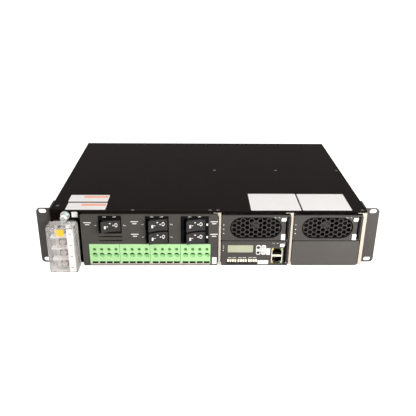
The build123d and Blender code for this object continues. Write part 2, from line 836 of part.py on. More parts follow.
def make_ac_terminal_block():
    """Barrier terminal block: a flanged base on the floor, a pedestal and a rib between the poles."""
    x0 = ac_block_left
    x1 = ac_block_left + ac_block_width
    rim_top = ac_top_z - ac_base_inset
    base = block(x0, x1, ac_front_y, ac_front_y + ac_base_flange, ac_block_foot, rim_top)
    body_y = ac_front_y + ac_base_flange
    base += block(x0 + ac_base_inset, x1 - ac_base_inset, body_y, ac_front_y + ac_base_depth, sheet, rim_top)
    low = ac_block_foot + cover_wall + fit_gap
    pedestal = ac_pedestal_width / 2
    base += block(ac_middle_x - pedestal, ac_middle_x + pedestal, ac_front_y - ac_pedestal, ac_front_y, low, rim_top)
    rib_half = ac_rib_width / 2
    for upper, lower in zip(ac_pole_zs, ac_pole_zs[1:]):
        z = (upper + lower) / 2
        base += block(ac_middle_x - rib_half, ac_middle_x + rib_half, ac_front_y - ac_rib_reach, ac_front_y,
                      z - ac_rib / 2, z + ac_rib / 2)
    for z in ac_pole_zs:
        base -= rod_y(ac_screw_x, z, ac_thread_radius + pin_clearance, ac_front_y - ac_pedestal,
                      ac_front_y - ac_pedestal + ac_thread_length + fit_gap, screw_bore)
    return base


def make_ac_terminal_screws():
    """Clamp screws with square plates, one on each pole, as separate solids."""
    screws = []
    for z in ac_pole_zs:
        seat = ac_front_y - ac_pedestal
        plate = block(ac_screw_x - ac_clamp / 2, ac_screw_x + ac_clamp / 2, seat - ac_clamp_thickness, seat,
                      z - ac_clamp / 2, z + ac_clamp / 2)
        head = rod_y(ac_screw_x, z, ac_head_radius, seat - ac_clamp_thickness - ac_head_height,
                     seat - ac_clamp_thickness)
        thread = rod_y(ac_screw_x, z, ac_thread_radius, seat, seat + ac_thread_length, screw_peg)
        screws.append((plate + head + thread).solid())
    return Compound(children=screws)


def make_ac_cover():
    """Clear box over the terminals, open at the back, notched under the ground screw."""
    x0 = ac_block_left
    x1 = ac_block_left + ac_block_width
    y0 = face_y - cover_protrusion
    y1 = ac_front_y - cover_seat_gap
    z0 = ac_block_foot
    outer = block(x0, x1, y0, y1, z0, ac_top_z)
    outer = fillet(outer.faces().sort_by(Axis.Y)[0].edges(), cover_wall / 2)
    wall = cover_wall
    cover = outer - block(x0 + wall, x1 - wall, y0 + wall, y1, z0 + wall, ac_top_z - wall)
    half = cover_notch_width / 2
    notch = Polygon((cover_notch_x - half, y1), (cover_notch_x + half + cover_notch_depth / 2, y1),
                    (cover_notch_x + half, y1 - cover_notch_depth), (cover_notch_x - half, y1 - cover_notch_depth),
                    align=None)
    cover -= from_below(notch, ac_top_z - wall, wall)
    cover -= block(ac_middle_x - cable_slot_width / 2, ac_middle_x + cable_slot_width / 2,
                   y1 - cable_slot_depth, y1, z0, z0 + wall)
    return cover


def make_ground_screw():
    """Slackened ground screw with a cross recess, and the flat washer that lies on the wall."""
    wall_y = ac_face_y + sheet
    washer = rod_y(ground_x, ground_z, ground_washer_radius, wall_y - ground_washer, wall_y, head_peg)
    washer -= rod_y(ground_x, ground_z, ground_shank_radius + screw_clearance, wall_y - ground_washer, wall_y, bore)
    under_head = wall_y - ground_shank
    crown = ground_head_height / 3
    head = rod_y(ground_x, ground_z, ground_head_radius, under_head - ground_head_height + crown, under_head, head_peg)
    top = tapered(head_peg, ground_head_radius - crown, ground_head_radius, crown)
    head += Pos(ground_x, under_head - ground_head_height, ground_z) * Rot(X=-90) * top
    screw = head + rod_y(ground_x, ground_z, ground_shank_radius, under_head, wall_y + ground_tail)
    cross = Rectangle(ground_head_radius, ground_slot) + Rectangle(ground_slot, ground_head_radius)
    screw -= from_front(Pos(ground_x, ground_z) * cross, under_head - ground_head_height, 2 * ground_slot)
    return Compound(children=[screw.solid(), washer.solid()])


def module_outline(x, z_low):
    """Outline of a module's front plate, with its corners cut."""
    plate = Rectangle(module_width, module_height)
    return Pos(x, z_low + module_height / 2) * chamfer(plate.vertices(), front_corner)


def flat_sided_oval(width, height):
    """Slot whose round ends have flat sides."""
    shift = (width - height) / 2
    oval = Rectangle(2 * shift, height)
    for side in (-1, 1):
        oval += Pos(side * shift, 0) * RegularPolygon(height / 2, oval_sides)
    return oval


def handle_slot(x, z_low):
    """Slot at the right of a front plate that the folded handle lies in."""
    right = x + module_width / 2 - handle_slot_inset
    return rectangle_at(right - handle_slot_width, right, z_low + handle_slot_margin,
                        z_low + module_height - handle_slot_margin)


def latch_place(x, z_low):
    """Middle of a module's latch knob at rest, in X and Z."""
    return x + module_width / 2 - latch_from_right, z_low + module_height - latch_from_top


def latch_slot(x, z_low):
    """Slot that the latch's stem slides in."""
    middle_x, middle_z = latch_place(x, z_low)
    half = latch_stem / 2 + fit_gap
    return rectangle_at(middle_x - half - latch_travel - fit_gap, middle_x + half + fit_gap,
                        middle_z - half, middle_z + half)


def pivot_lug(x, z_low):
    """Lug behind the front plate that holds the pin of the handle."""
    right = x + module_width / 2 - handle_slot_inset
    bar_left = right - fit_gap - handle_width
    y = face_y + handle_pivot_depth
    z = z_low + handle_pivot_z
    lug = block(right, right + handle_slot_inset / 2, face_y + front_plate, y + handle_boss,
                z - handle_boss, z + handle_boss)
    return lug + rod_x(y, z, pivot_pin_radius, bar_left, right, pin_peg)


def make_rectifier_front(x, z_low):
    """Moulded front with a sunk honeycomb in an oval, a handle slot and a latch slot."""
    z = z_low + module_height / 2
    oval = Pos(x, z) * flat_sided_oval(grille_width, grille_height)
    inset = Pos(x, z) * flat_sided_oval(grille_width - cell_web, grille_height - cell_web)
    shared = [handle_slot(x, z_low), latch_slot(x, z_low)]
    full_cell = RegularPolygon((cell_pitch - cell_web) / sqrt(3), 6).area
    cells = []
    for hexagon in hexagon_field(x, z):
        middle = hexagon.faces()[0].center()
        if abs(middle.X - x) > grille_width / 2 or abs(middle.Y - z) > grille_height / 2:
            continue
        cell = inset & hexagon
        if cell.area > smallest_cell_share * full_cell:
            cells.append(cell)
    outline = module_outline(x, z_low)
    front = pierced(outline, [oval] + shared, face_y, grille_recess)
    front += pierced(outline, cells + shared, face_y + grille_recess, front_plate - grille_recess)
    return front + pivot_lug(x, z_low)


def make_case(x, z_low):
    """Thin metal sleeve of a module, with air windows and a card slot in its back."""
    z = z_low + module_height / 2
    outer = Pos(x, z) * Rectangle(case_width, case_height)
    inner = Pos(x, z) * Rectangle(case_width - 2 * case_wall, case_height - 2 * case_wall)
    case = from_front(outer - inner, case_y, case_depth)
    back = [Pos(x, z_low + card_z + card / 2) * Rectangle(card_tongue + card, 2 * card)]
    step = (case_width - 4 * case_wall) / case_window_count
    low = z_low + card_z + 4 * card
    high = z + case_height / 2 - 3 * case_wall
    for i in range(case_window_count):
        middle = x + step * (i - (case_window_count - 1) / 2)
        back.append(rectangle_at(middle - step / 2 + case_wall, middle + step / 2 - case_wall, low, high))
    case += pierced(outer, back, case_rear_y - case_wall, case_wall)
    right = x + module_width / 2 - handle_slot_inset
    case -= block(right - handle_slot_width, right, case_y, case_y + handle_relief,
                  z_low + handle_slot_margin, z_low + module_height - handle_slot_margin)
    return case


def make_card(x, z_low, parts):
    """Circuit board on four posts, with its edge in the backplane and box-shaped parts on it."""
    z = z_low + card_z
    floor_z = z_low + (module_height - case_height) / 2 + case_wall
    half = card_half
    y0 = case_y + fan_set_back + fan_depth + board_gap
    y1 = case_rear_y - 2 * case_wall
    board = block(x - half, x + half, y0, y1, z, z + card)
    board += block(x - card_tongue / 2, x + card_tongue / 2, y1,
                   board_y - connector_depth + card_bite, z, z + card)
    inset = board_post + case_wall
    for side in (-1, 1):
        for y in (y0 + inset, y1 - inset):
            board += rod_z(x + side * (half - inset), y, board_post, floor_z, z, pin_peg)
    for x0, x1, along0, along1, height in parts:
        board += block(x + x0, x + x1, y0 + along0, y0 + along1, z + card, z + card + height)
    return board


def make_rectifier_board(x, z_low):
    """Power board with two finned heat sinks, a transformer and a row of capacitors."""
    fins = []
    heat_sinks = []
    for left in (-sink_width - sink_from_middle, sink_from_middle):
        step = (sink_width - fin_thickness) / (fin_count - 1)
        fins += [(left + step * i, left + step * i + fin_thickness, sink_start, sink_start + sink_length, part_height)
                 for i in range(fin_count)]
        heat_sinks.append((left, left + sink_width, sink_start, sink_start + sink_length, sink_base))
    transformer = [(-transformer_width / 2, transformer_width / 2, transformer_start,
                    transformer_start + transformer_width, part_height - fin_thickness)]
    length = case_depth - fan_set_back - fan_depth - board_gap
    capacitors = []
    for i in range(capacitor_count):
        left = capacitor_pitch * (i - capacitor_count / 2) + fin_thickness
        capacitors.append((left, left + capacitor_width, length - capacitor_end - capacitor_length,
                           length - capacitor_end, part_height - 2 * fin_thickness))
    return make_card(x, z_low, fins + heat_sinks + transformer + capacitors)


def make_monitor_board(x, z_low):
    """Logic board with a processor, a battery and a shielded supply."""
    chip = (-chip_size / 2, chip_size / 2, chip_start, chip_start + chip_size, chip_height)
    coin_left = coin_inset - card_half
    coin = (coin_left, coin_left + coin_size, coin_start, coin_start + coin_size, coin_height)
    supply_right = card_half - supply_inset
    supply = (supply_right - supply_width, supply_right, supply_start, supply_start + supply_length,
              part_height - board_post)
    return make_card(x, z_low, [chip, coin, supply])


def fan_axis(z_low):
    """Height of the fan's axis and the Y of its baffle."""
    return z_low + module_height / 2, case_y + fan_set_back


def make_fan_frame(x, z_low):
    """Baffle plate with the round bore of the fan, and a motor seat on struts behind it."""
    z, y0 = fan_axis(z_low)
    width = case_width - 2 * case_wall - 2 * fit_gap
    height = case_height - 2 * case_wall - 2 * fit_gap
    ring = fan_bore_radius + fan_ring
    opening = Pos(x, z) * bore(fan_bore_radius, fan_sides)
    frame = from_front(Pos(x, z) * Rectangle(width, height) - opening, y0, fan_plate)
    frame += from_front(Pos(x, z) * bore(ring, fan_sides) - opening, y0 + fan_plate, fan_depth - fan_plate)
    seat_y = y0 + fan_depth - motor_length
    for i in range(strut_count):
        strut = Pos(ring / 2, 0) * Rectangle(ring, strut_width)
        frame += from_front(Pos(x, z) * Rot(Z=90 + 360 * i / strut_count) * strut, seat_y, motor_length)
    frame += rod_y(x, z, fan_hub_radius, seat_y, seat_y + motor_length)
    return frame - rod_y(x, z, fan_shaft_radius + shaft_clearance, seat_y, seat_y + motor_length, pin_bore)


def make_fan_rotor(x, z_low):
    """Hub with a chamfered nose, pitched blades and a shaft that runs in the motor seat."""
    z, y0 = fan_axis(z_low)
    seat_y = y0 + fan_depth - motor_length
    hub_y = seat_y - fan_gap - fan_hub_length
    nose = fan_hub_length / 6
    rotor = rod_y(x, z, fan_hub_radius, hub_y + nose, hub_y + fan_hub_length)
    rotor += Pos(x, hub_y, z) * Rot(X=-90) * tapered(peg, fan_hub_radius - nose, fan_hub_radius, nose)
    rotor += rod_y(x, z, fan_shaft_radius, hub_y + fan_hub_length, seat_y + motor_length, pin_peg)
    reach = blade_chord / 2 * cos(radians(blade_pitch)) + blade_thickness
    tip = sqrt((fan_bore_radius - fan_gap) ** 2 - reach ** 2)
    root = fan_hub_radius - 2 * blade_thickness
    blade = Pos((root + tip) / 2, 0, 0) * Rot(X=blade_pitch) * Box(tip - root, blade_thickness, blade_chord)
    for i in range(blade_count):
        rotor += Pos(x, hub_y + (nose + fan_hub_length) / 2, z) * Rot(Y=360 * i / blade_count) * blade
    return rotor


def make_handle(x, z_low):
    """Lever that folds up into the front plate and turns forward on a pin at its foot."""
    right = x + module_width / 2 - handle_slot_inset - fit_gap
    y = face_y + handle_pivot_depth
    z = z_low + handle_pivot_z
    top = z + handle_length
    front = face_y + fit_gap
    bar = rectangle_at(front, front + handle_bar, z, top)
    hook = rectangle_at(front, front + handle_bar + handle_width, top - 2 * handle_width, top)
    lever = from_side(bar + hook + Pos(y, z) * peg(handle_boss), right - handle_width, handle_width)
    return lever - rod_x(y, z, pivot_pin_radius + pin_clearance, right - handle_width, right, pin_bore)


def make_latch(x, z_low):
    """Thumb slide that holds the folded handle, its stem in a slot and its plate behind."""
    middle_x, middle_z = latch_place(x, z_low)
    half_w = latch_knob_width / 2
    half_h = latch_knob_height / 2
    knob = block(middle_x - half_w, middle_x + half_w, face_y - latch_proud, face_y - fit_gap,
                 middle_z - half_h, middle_z + half_h)
    knob = chamfer(knob.edges().filter_by(Axis.Y), half_h / 3)
    stem = latch_stem / 2
    back_y = face_y + front_plate + fit_gap
    knob += block(middle_x - stem, middle_x + stem, face_y - fit_gap, back_y, middle_z - stem, middle_z + stem)
    tongue = x + module_width / 2 - handle_slot_inset - 2 * fit_gap - handle_width
    return knob + block(middle_x - half_w, tongue, back_y, back_y + latch_plate, middle_z - half_h, middle_z + half_h)


def key_places(x, z_low):
    """Name, X and Z of each key of the monitoring module."""
    places = []
    for column, names in zip(key_columns, key_names):
        for row, name in zip(key_rows, names):
            places.append((name, x + column, z_low + module_height / 2 + row))
    return places


def port_rectangles(x, z_low):
    """Cavity outlines of the two network sockets, each with the notch of its latch."""
    shapes = []
    for sign in (-1, 1):
        z = z_low + port_z + sign * port_pitch / 2
        notch_z = z + sign * (port_cavity_height + port_key_height) / 2
        shapes.append(Pos(x + port_x, z) * Rectangle(port_cavity_width, port_cavity_height)
                      + Pos(x + port_x, notch_z) * Rectangle(port_key_width, port_key_height))
    return shapes


def make_monitor_front(x, z_low):
    """Front of the monitoring module, with windows for display, keys, sockets and alarm terminals."""
    half = alarm_width / 2 + fit_gap
    holes = [handle_slot(x, z_low), latch_slot(x, z_low)]
    holes.append(Pos(x + lcd_x, z_low + module_height - lcd_drop) * Rectangle(lcd_width, lcd_height))
    holes.append(Pos(x + port_x, z_low + port_z) * Rectangle(port_width + 2 * fit_gap, port_height + 2 * fit_gap))
    holes.append(Pos(x + alarm_x, z_low + alarm_z) * Rectangle(2 * half, alarm_height + 2 * fit_gap))
    for name, key_x, key_z in key_places(x, z_low):
        holes.append(Pos(key_x, key_z) * bore(key_radius + key_clearance))
    return pierced(module_outline(x, z_low), holes, face_y, front_plate) + pivot_lug(x, z_low)


def make_lcd(x, z_low):
    """Display whose pane fills the window and whose frame lies behind the plate."""
    middle_x = x + lcd_x
    middle_z = z_low + module_height - lcd_drop
    half_w = lcd_width / 2
    half_h = lcd_height / 2
    back = face_y + front_plate
    pane = block(middle_x - half_w + fit_gap, middle_x + half_w - fit_gap, face_y + lcd_set_back, back,
                 middle_z - half_h + fit_gap, middle_z + half_h - fit_gap)
    return pane + block(middle_x - half_w - lcd_frame, middle_x + half_w + lcd_frame, back, back + lcd_thickness,
                        middle_z - half_h - lcd_frame, middle_z + half_h + lcd_frame)


def make_key(x, z):
    """Round key with a flange that keeps it behind the plate."""
    back = face_y + front_plate + fit_gap
    key = rod_y(x, z, key_radius, face_y - key_proud, back)
    return key + rod_y(x, z, key_radius + key_flange, back, back + key_flange_thickness)


def make_network_ports(x, z_low):
    """Two network sockets, one above the other, in one shielded housing."""
    outline = Pos(x + port_x, z_low + port_z) * Rectangle(port_width, port_height)
    y0 = face_y - port_proud
    body = pierced(outline, port_rectangles(x, z_low), y0, port_cavity_depth)
    return body + from_front(outline, y0 + port_cavity_depth, port_depth - port_cavity_depth)


def make_alarm_terminals(x, z_low):
    """Strip of small wire terminals in groups, each with its release lever."""
    half = alarm_width / 2
    middle = x + alarm_x
    z0 = z_low + alarm_z - alarm_height / 2
    strip = block(middle - half, middle + half, face_y, face_y + alarm_depth, z0, z0 + alarm_height)
    for group in range(alarm_groups):
        for pole in range(alarm_poles):
            shift = alarm_pole_pitch * (group * alarm_poles + pole + 0.5) + alarm_group_gap * group
            pole_x = middle - half + shift
            lever_top = z0 + alarm_height - fit_gap
            strip += block(pole_x - lever_width / 2, pole_x + lever_width / 2, face_y - lever_proud, face_y,
                           lever_top - lever_height, lever_top)
            strip -= block(pole_x - alarm_wire_radius, pole_x + alarm_wire_radius, face_y,
                           face_y + alarm_depth / 2, z0 + fit_gap, z0 + fit_gap + 2 * alarm_wire_radius)
    return strip


def make_blank_panel(x, z_low):
    """Plain folded panel over an empty module position, its lower flange on the floor."""
    outline = Pos(x, z_low + module_height / 2) * RectangleRounded(module_width, module_height, blank_corner)
    panel = from_front(outline, face_y, panel_sheet)
    y0 = face_y + panel_sheet
    high = z_low + module_height - 2 * sheet
    half = module_width / 2 - blank_corner
    panel += block(x - half, x + half, y0, y0 + blank_depth, sheet, 2 * sheet)
    for x0 in (x - half, x + half - sheet):
        panel += block(x0, x0 + sheet, y0, y0 + blank_depth, sheet, high)
    return panel


def build_parts():
    """Every node of the shelf by name."""
    x1, x2 = bay_xs
    low, high = row_zs
    parts = {
        "chassis_tray": make_chassis_tray(),
        "top_cover": make_top_cover(),
        "ear_left": make_ear(-1),
        "ear_right": make_ear(1),
        "chassis_screws": make_chassis_screws(),
        "distribution_panel": make_distribution_panel(),
        "divider_left": make_divider(0),
        "divider_middle": make_divider(1),
        "divider_right": make_divider(2),
        "bay_shelf": make_bay_shelf(),
        "backplane_board": make_backplane_board(),
        "backplane_connectors": make_backplane_connectors(),
        "negative_busbar": make_busbar(negative_bar_z, negative_leg_x, face_y + breaker_depth + terminal_stud,
                                       battery_x - busbar_height / 2, negative_front_height),
        "positive_busbar": make_busbar(positive_bar_z, positive_leg_x,
                                       face_y - plug_proud + plug_depth + header_gap + header_depth, plug_left,
                                       busbar_height),
        "dc_header": make_dc_header(),
        "ac_terminal_block": make_ac_terminal_block(),
        "ac_terminal_screws": make_ac_terminal_screws(),
        "ac_cover": make_ac_cover(),
        "ground_screw": make_ground_screw(),
    }
    parts["battery_breaker_case"] = make_breaker(
        battery_x, battery_z, battery_body_width, battery_window_foot, battery_window_foot + battery_window_height,
        battery_window_width, battery_window_foot, battery_window_foot + battery_window_height)
    parts["battery_breaker_rocker"] = make_rocker(battery_x, battery_z)
    number = 1
    for x, window in zip(load_xs, load_window_widths):
        for row, z in reversed(list(enumerate(load_zs))):
            z0 = load_foot + load_cell * row
            z1 = z0 + load_cell
            nose_top = z1 + load_legend if row == 1 else z1
            parts[f"load_breaker_{number}_case"] = make_breaker(
                x, z, load_body_width, z0 + window_clearance / 2, z1 - window_clearance / 2, window, z0, nose_top)
            parts[f"load_breaker_{number}_rocker"] = make_rocker(x, z)
            number += 1
    for index in range(plug_count):
        parts[f"dc_plug_{index + 1}"] = make_plug(index)
    for number, x in ((1, x1), (2, x2)):
        name = f"rectifier_{number}_"
        parts[name + "case"] = make_case(x, high)
        parts[name + "front"] = make_rectifier_front(x, high)
        parts[name + "board"] = make_rectifier_board(x, high)
        parts[name + "fan_frame"] = make_fan_frame(x, high)
        parts[name + "fan_rotor"] = make_fan_rotor(x, high)
        parts[name + "handle"] = make_handle(x, high)
        parts[name + "latch"] = make_latch(x, high)
    parts["monitor_case"] = make_case(x1, low)
    parts["monitor_front"] = make_monitor_front(x1, low)
    parts["monitor_board"] = make_monitor_board(x1, low)
    parts["monitor_lcd"] = make_lcd(x1, low)
    for name, key_x, key_z in key_places(x1, low):
        parts["monitor_" + name] = make_key(key_x, key_z)
    parts["network_ports"] = make_network_ports(x1, low)
    parts["alarm_terminals"] = make_alarm_terminals(x1, low)
    parts["monitor_handle"] = make_handle(x1, low)
    parts["monitor_latch"] = make_latch(x1, low)
    parts["blank_panel"] = make_blank_panel(x2, low)
    return parts


os.makedirs("parts", exist_ok=True)
for node, shape in build_parts().items():
    export_step(shape, os.path.join("parts", node + ".step"))
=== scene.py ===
"""Looks of a rack power shelf: finishes, printed marks, small trim, studio and camera."""

import json
import logging
import math
from collections.abc import Callable
from dataclasses import dataclass
from enum import Enum

import bmesh
import bpy
from mathutils import Matrix, Vector


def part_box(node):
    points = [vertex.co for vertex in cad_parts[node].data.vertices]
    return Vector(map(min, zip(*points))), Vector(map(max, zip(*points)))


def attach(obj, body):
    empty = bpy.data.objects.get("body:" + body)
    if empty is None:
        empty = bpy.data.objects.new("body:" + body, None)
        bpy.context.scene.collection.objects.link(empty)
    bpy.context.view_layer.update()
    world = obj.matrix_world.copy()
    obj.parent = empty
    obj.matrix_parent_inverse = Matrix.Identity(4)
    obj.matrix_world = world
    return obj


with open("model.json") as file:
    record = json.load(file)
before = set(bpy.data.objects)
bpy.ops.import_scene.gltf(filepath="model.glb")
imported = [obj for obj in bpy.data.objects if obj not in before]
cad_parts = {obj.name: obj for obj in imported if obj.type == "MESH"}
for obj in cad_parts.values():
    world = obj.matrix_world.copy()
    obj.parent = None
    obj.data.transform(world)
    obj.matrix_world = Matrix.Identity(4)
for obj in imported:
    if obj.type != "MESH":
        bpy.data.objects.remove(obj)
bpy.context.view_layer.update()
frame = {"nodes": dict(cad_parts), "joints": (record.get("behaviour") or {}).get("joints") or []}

LOG = logging.getLogger("power_shelf")
MM = 0.001
FRONT_Y = -12.0
LID_Z = 86.1
LEFT_BREAKERS = ("battery_breaker", "load_breaker_1", "load_breaker_2")
RIGHT_BREAKERS = ("load_breaker_3", "load_breaker_4")

Material = bpy.types.Material
Object = bpy.types.Object
Point = tuple[float, float, float]
Flat = list[tuple[float, float]]
Place = Callable[[float, float, float], Point]


def linear(hex_colour: str) -> tuple[float, float, float, float]:
    """Turns an sRGB hex colour into the linear values that a shader takes.

    Args:
        hex_colour: Six hex digits.

    Returns:
        Red, green, blue and an alpha of 1.
    """
    channels = []
    for start in (0, 2, 4):
        value = int(hex_colour[start:start + 2], 16) / 255
        channels.append(value / 12.92 if value <= 0.04045 else ((value + 0.055) / 1.055) ** 2.4)
    return (channels[0], channels[1], channels[2], 1.0)


def add_node(tree: bpy.types.NodeTree, kind: str, settings: dict | None = None,
             links: dict | None = None) -> bpy.types.Node:
    """Adds a node with its settings and links.

    Args:
        tree: The node tree.
        kind: Blender's name of the node's class.
        settings: Values of properties, or of inputs by name or number.
        links: Output sockets of other nodes, by the input that takes them.

    Returns:
        The new node.
    """
    node = tree.nodes.new(kind)
    for key, value in (settings or {}).items():
        if isinstance(key, int) or key in node.inputs:
            node.inputs[key].default_value = value
        else:
            setattr(node, key, value)
    for key, socket in (links or {}).items():
        tree.links.new(socket, node.inputs[key])
    return node


class Grain(Enum):
    """How the surface was made, as far as the eye sees it."""

    POWDER = "powder coat"
    MOULDED = "spark-eroded mould"
    BRUSHED = "brushed along X"
    SPANGLE = "zinc spangle"
    SMOOTH = "smooth"


@dataclass(frozen=True)
class Finish:
    """One finish: a base material, its colour and the relief of its surface.

    Args:
        name: The material's common name and how its surface was made.
        colour: Main colour as sRGB hex.
        drift: Colour of the worn or dusty patches.
        grain: Kind of relief.
        grain_mm: Real size of one grain.
        roughness: Middle roughness.
        roughness_spread: How far the roughness strays.
        metallic: 1 for bare metal.
        ior: Index of refraction, left alone on metal.
        specular: Specular level.
        bump: Strength of the relief.
        height_mm: Height of the relief.
        drift_share: How much of the drift colour shows.
        transmission: 1 for clear plastic.
        coat: Weight of a clear lacquer.
        behind: Colour of what lies further back than behind_y, used both for a second colour of a node and
            for painted shade on its deeper parts.
        behind_y: Where that colour starts, in millimetres.
    """

    name: str
    colour: str
    drift: str
    grain: Grain = Grain.SMOOTH
    grain_mm: float = 1.0
    roughness: float = 0.5
    roughness_spread: float = 0.08
    metallic: float = 0.0
    ior: float = 1.5
    specular: float = 0.5
    bump: float = 0.2
    height_mm: float = 0.05
    drift_share: float = 0.35
    transmission: float = 0.0
    coat: float = 0.0
    behind: str = ""
    behind_y: float = 0.0

    def build(self) -> Material:
        """Builds the shader.

        Returns:
            The new material.
        """
        material = bpy.data.materials.new(self.name)
        material.use_nodes = True
        tree = material.node_tree
        tree.nodes.clear()
        place = add_node(tree, "ShaderNodeTexCoord")
        settings = {"Metallic": self.metallic, "Specular IOR Level": self.specular,
                    "Transmission Weight": self.transmission, "Coat Weight": self.coat}
        if not self.metallic:
            settings["IOR"] = self.ior
        shader = add_node(tree, "ShaderNodeBsdfPrincipled", settings)
        # Handling marks and dust lie in soft patches some 30 mm wide.
        patches = add_node(tree, "ShaderNodeTexNoise",
                           {"Scale": 1 / (30 * MM), "Detail": 5.0, "Roughness": 0.6},
                           {"Vector": place.outputs["Object"]})
        spread = add_node(tree, "ShaderNodeMapRange", {1: 0.38, 2: 0.72, 3: 0.0, 4: self.drift_share},
                          {0: patches.outputs["Fac"]})
        colour = add_node(tree, "ShaderNodeMix",
                          {"data_type": "RGBA", 6: linear(self.colour), 7: linear(self.drift)},
                          {0: spread.outputs[0]})
        # Deeper parts take the second colour: a real second colour on some nodes, painted shade on others.
        if self.behind:
            axes = add_node(tree, "ShaderNodeSeparateXYZ", links={0: place.outputs["Object"]})
            deeper = add_node(tree, "ShaderNodeMath", {"operation": "GREATER_THAN", 1: self.behind_y * MM},
                              {0: axes.outputs["Y"]})
            colour = add_node(tree, "ShaderNodeMix", {"data_type": "RGBA", 7: linear(self.behind)},
                              {0: deeper.outputs[0], 6: colour.outputs[2]})
        tree.links.new(colour.outputs[2], shader.inputs["Base Color"])
        relief = self.relief(tree, place)
        rough = add_node(tree, "ShaderNodeMapRange",
                         {1: 0.25, 2: 0.75, 3: self.roughness - self.roughness_spread,
                          4: self.roughness + self.roughness_spread}, {0: relief})
        tree.links.new(rough.outputs[0], shader.inputs["Roughness"])
        bump = add_node(tree, "ShaderNodeBump", {"Strength": self.bump, "Distance": self.height_mm * MM},
                        {"Height": relief})
        tree.links.new(bump.outputs[0], shader.inputs["Normal"])
        if self.transmission:
            # A lamp shines through clear plastic, so its shadow is only half as deep.
            path = add_node(tree, "ShaderNodeLightPath")
            share = add_node(tree, "ShaderNodeMath", {"operation": "MULTIPLY", 1: self.transmission},
                             {0: path.outputs["Is Shadow Ray"]})
            clear = add_node(tree, "ShaderNodeBsdfTransparent")
            shader = add_node(tree, "ShaderNodeMixShader",
                              links={0: share.outputs[0], 1: shader.outputs[0], 2: clear.outputs[0]})
        add_node(tree, "ShaderNodeOutputMaterial", links={0: shader.outputs[0]})
        return material

    def relief(self, tree: bpy.types.NodeTree, place: bpy.types.Node) -> bpy.types.NodeSocket:
        """Adds the pattern of the surface.

        Args:
            tree: The material's nodes.
            place: The texture coordinates.

        Returns:
            The socket that carries the pattern's height.
        """
        scale = 1 / (self.grain_mm * MM)
        vector = place.outputs["Object"]
        if self.grain is Grain.BRUSHED:
            stretch = add_node(tree, "ShaderNodeMapping", {"Scale": (0.03, 1.0, 1.0)}, {"Vector": vector})
            vector = stretch.outputs[0]
        if self.grain is Grain.SPANGLE:
            crystals = add_node(tree, "ShaderNodeTexVoronoi", {"Scale": scale, "Randomness": 1.0},
                                {"Vector": vector})
            grey = add_node(tree, "ShaderNodeRGBToBW", links={0: crystals.outputs["Color"]})
            return grey.outputs[0]
        detail = 3.0 if self.grain is not Grain.SMOOTH else 1.0
        noise = add_node(tree, "ShaderNodeTexNoise", {"Scale": scale, "Detail": detail, "Roughness": 0.55},
                         {"Vector": vector})
        return noise.outputs["Fac"]


# Polyester powder coat on steel: a fine orange peel, drawn twice as coarse as the real 0.4 mm to show.
BLACK_COAT = Finish("black_powder_coat", "120D0B", "19130F", Grain.POWDER, 0.8, 0.55, 0.06, specular=0.02,
                    bump=0.22, height_mm=0.04)
EAR_COAT = Finish("grey_powder_coat", "46413D", "4F4945", Grain.POWDER, 0.8, 0.5, 0.06, specular=0.3,
                  bump=0.22, height_mm=0.04)
PANEL_COAT = Finish("charcoal_panel_paint", "403C38", "4A4541", Grain.POWDER, 0.7, 0.5, 0.06, specular=0.3,
                    bump=0.2, height_mm=0.03)
BLANK_COAT = Finish("grey_satin_paint", "4B4743", "54504B", Grain.POWDER, 0.7, 0.45, 0.05, specular=0.35,
                    bump=0.16, height_mm=0.03)
CREAM_COAT = Finish("cream_enamel", "BAB1A2", "ADA494", Grain.POWDER, 0.7, 0.42, 0.05, bump=0.14,
                    height_mm=0.03)
# Painted highlight: the folded foot of the panel, drawn as a light strip where the light catches its edge.
LIP_HIGHLIGHT = Finish("painted_highlight_on_panel_foot", "AEA69C", "857D75", Grain.POWDER, 2.0, 0.45, 0.08, bump=0.15,
                   height_mm=0.03)
HUB_LABEL = Finish("grey_fan_label_paper", "2F2B28", "262220", Grain.MOULDED, 0.5, 0.5, 0.06, bump=0.08,
                   height_mm=0.01)
# Zinc on sheet steel: crystals of some 6 mm that catch the light each in its own way.
GALVANISED = Finish("galvanised_steel", "A9ADB0", "8F9497", Grain.SPANGLE, 6.0, 0.38, 0.1, metallic=1.0,
                    bump=0.05, height_mm=0.02)
# Zinc-plated steel screws: bright, with the fine turning marks of the header.
ZINC = Finish("zinc_plated_steel", "E2E8E4", "C9D0CB", Grain.BRUSHED, 0.4, 0.45, 0.08, metallic=1.0,
              bump=0.1, height_mm=0.02)
# Black-passivated screws of the lid and the ears, a little paler than the paint round them.
DARK_ZINC = Finish("black_passivated_zinc", "5A5653", "4A4744", Grain.BRUSHED, 0.4, 0.45, 0.08, metallic=1.0,
                   bump=0.1, height_mm=0.02)
COPPER = Finish("rolled_copper", "C07A55", "8E5538", Grain.BRUSHED, 0.5, 0.35, 0.1, metallic=1.0, bump=0.12,
                height_mm=0.02)
# Moulded plastics: a spark-eroded mould leaves a fine even grain, drawn coarser than the real 0.15 mm.
BLACK_ABS = Finish("black_moulded_abs", "0B0A0A", "131212", Grain.MOULDED, 0.5, 0.5, 0.07, ior=1.53,
                   specular=0.07, bump=0.2, height_mm=0.03)
FRONT_ABS = Finish("charcoal_moulded_abs", "3F3B38", "494440", Grain.MOULDED, 0.5, 0.5, 0.07, ior=1.53,
                   specular=0.3, bump=0.2, height_mm=0.03)
ROCKER_PC = Finish("black_glossy_polycarbonate", "242221", "353231", Grain.MOULDED, 0.8, 0.25, 0.06,
                   ior=1.58, specular=0.4, bump=0.06, height_mm=0.02)
GREEN_PA = Finish("green_moulded_polyamide", "A8D296", "9CC988", Grain.MOULDED, 0.6, 0.42, 0.06, ior=1.53,
                  bump=0.12, height_mm=0.03)
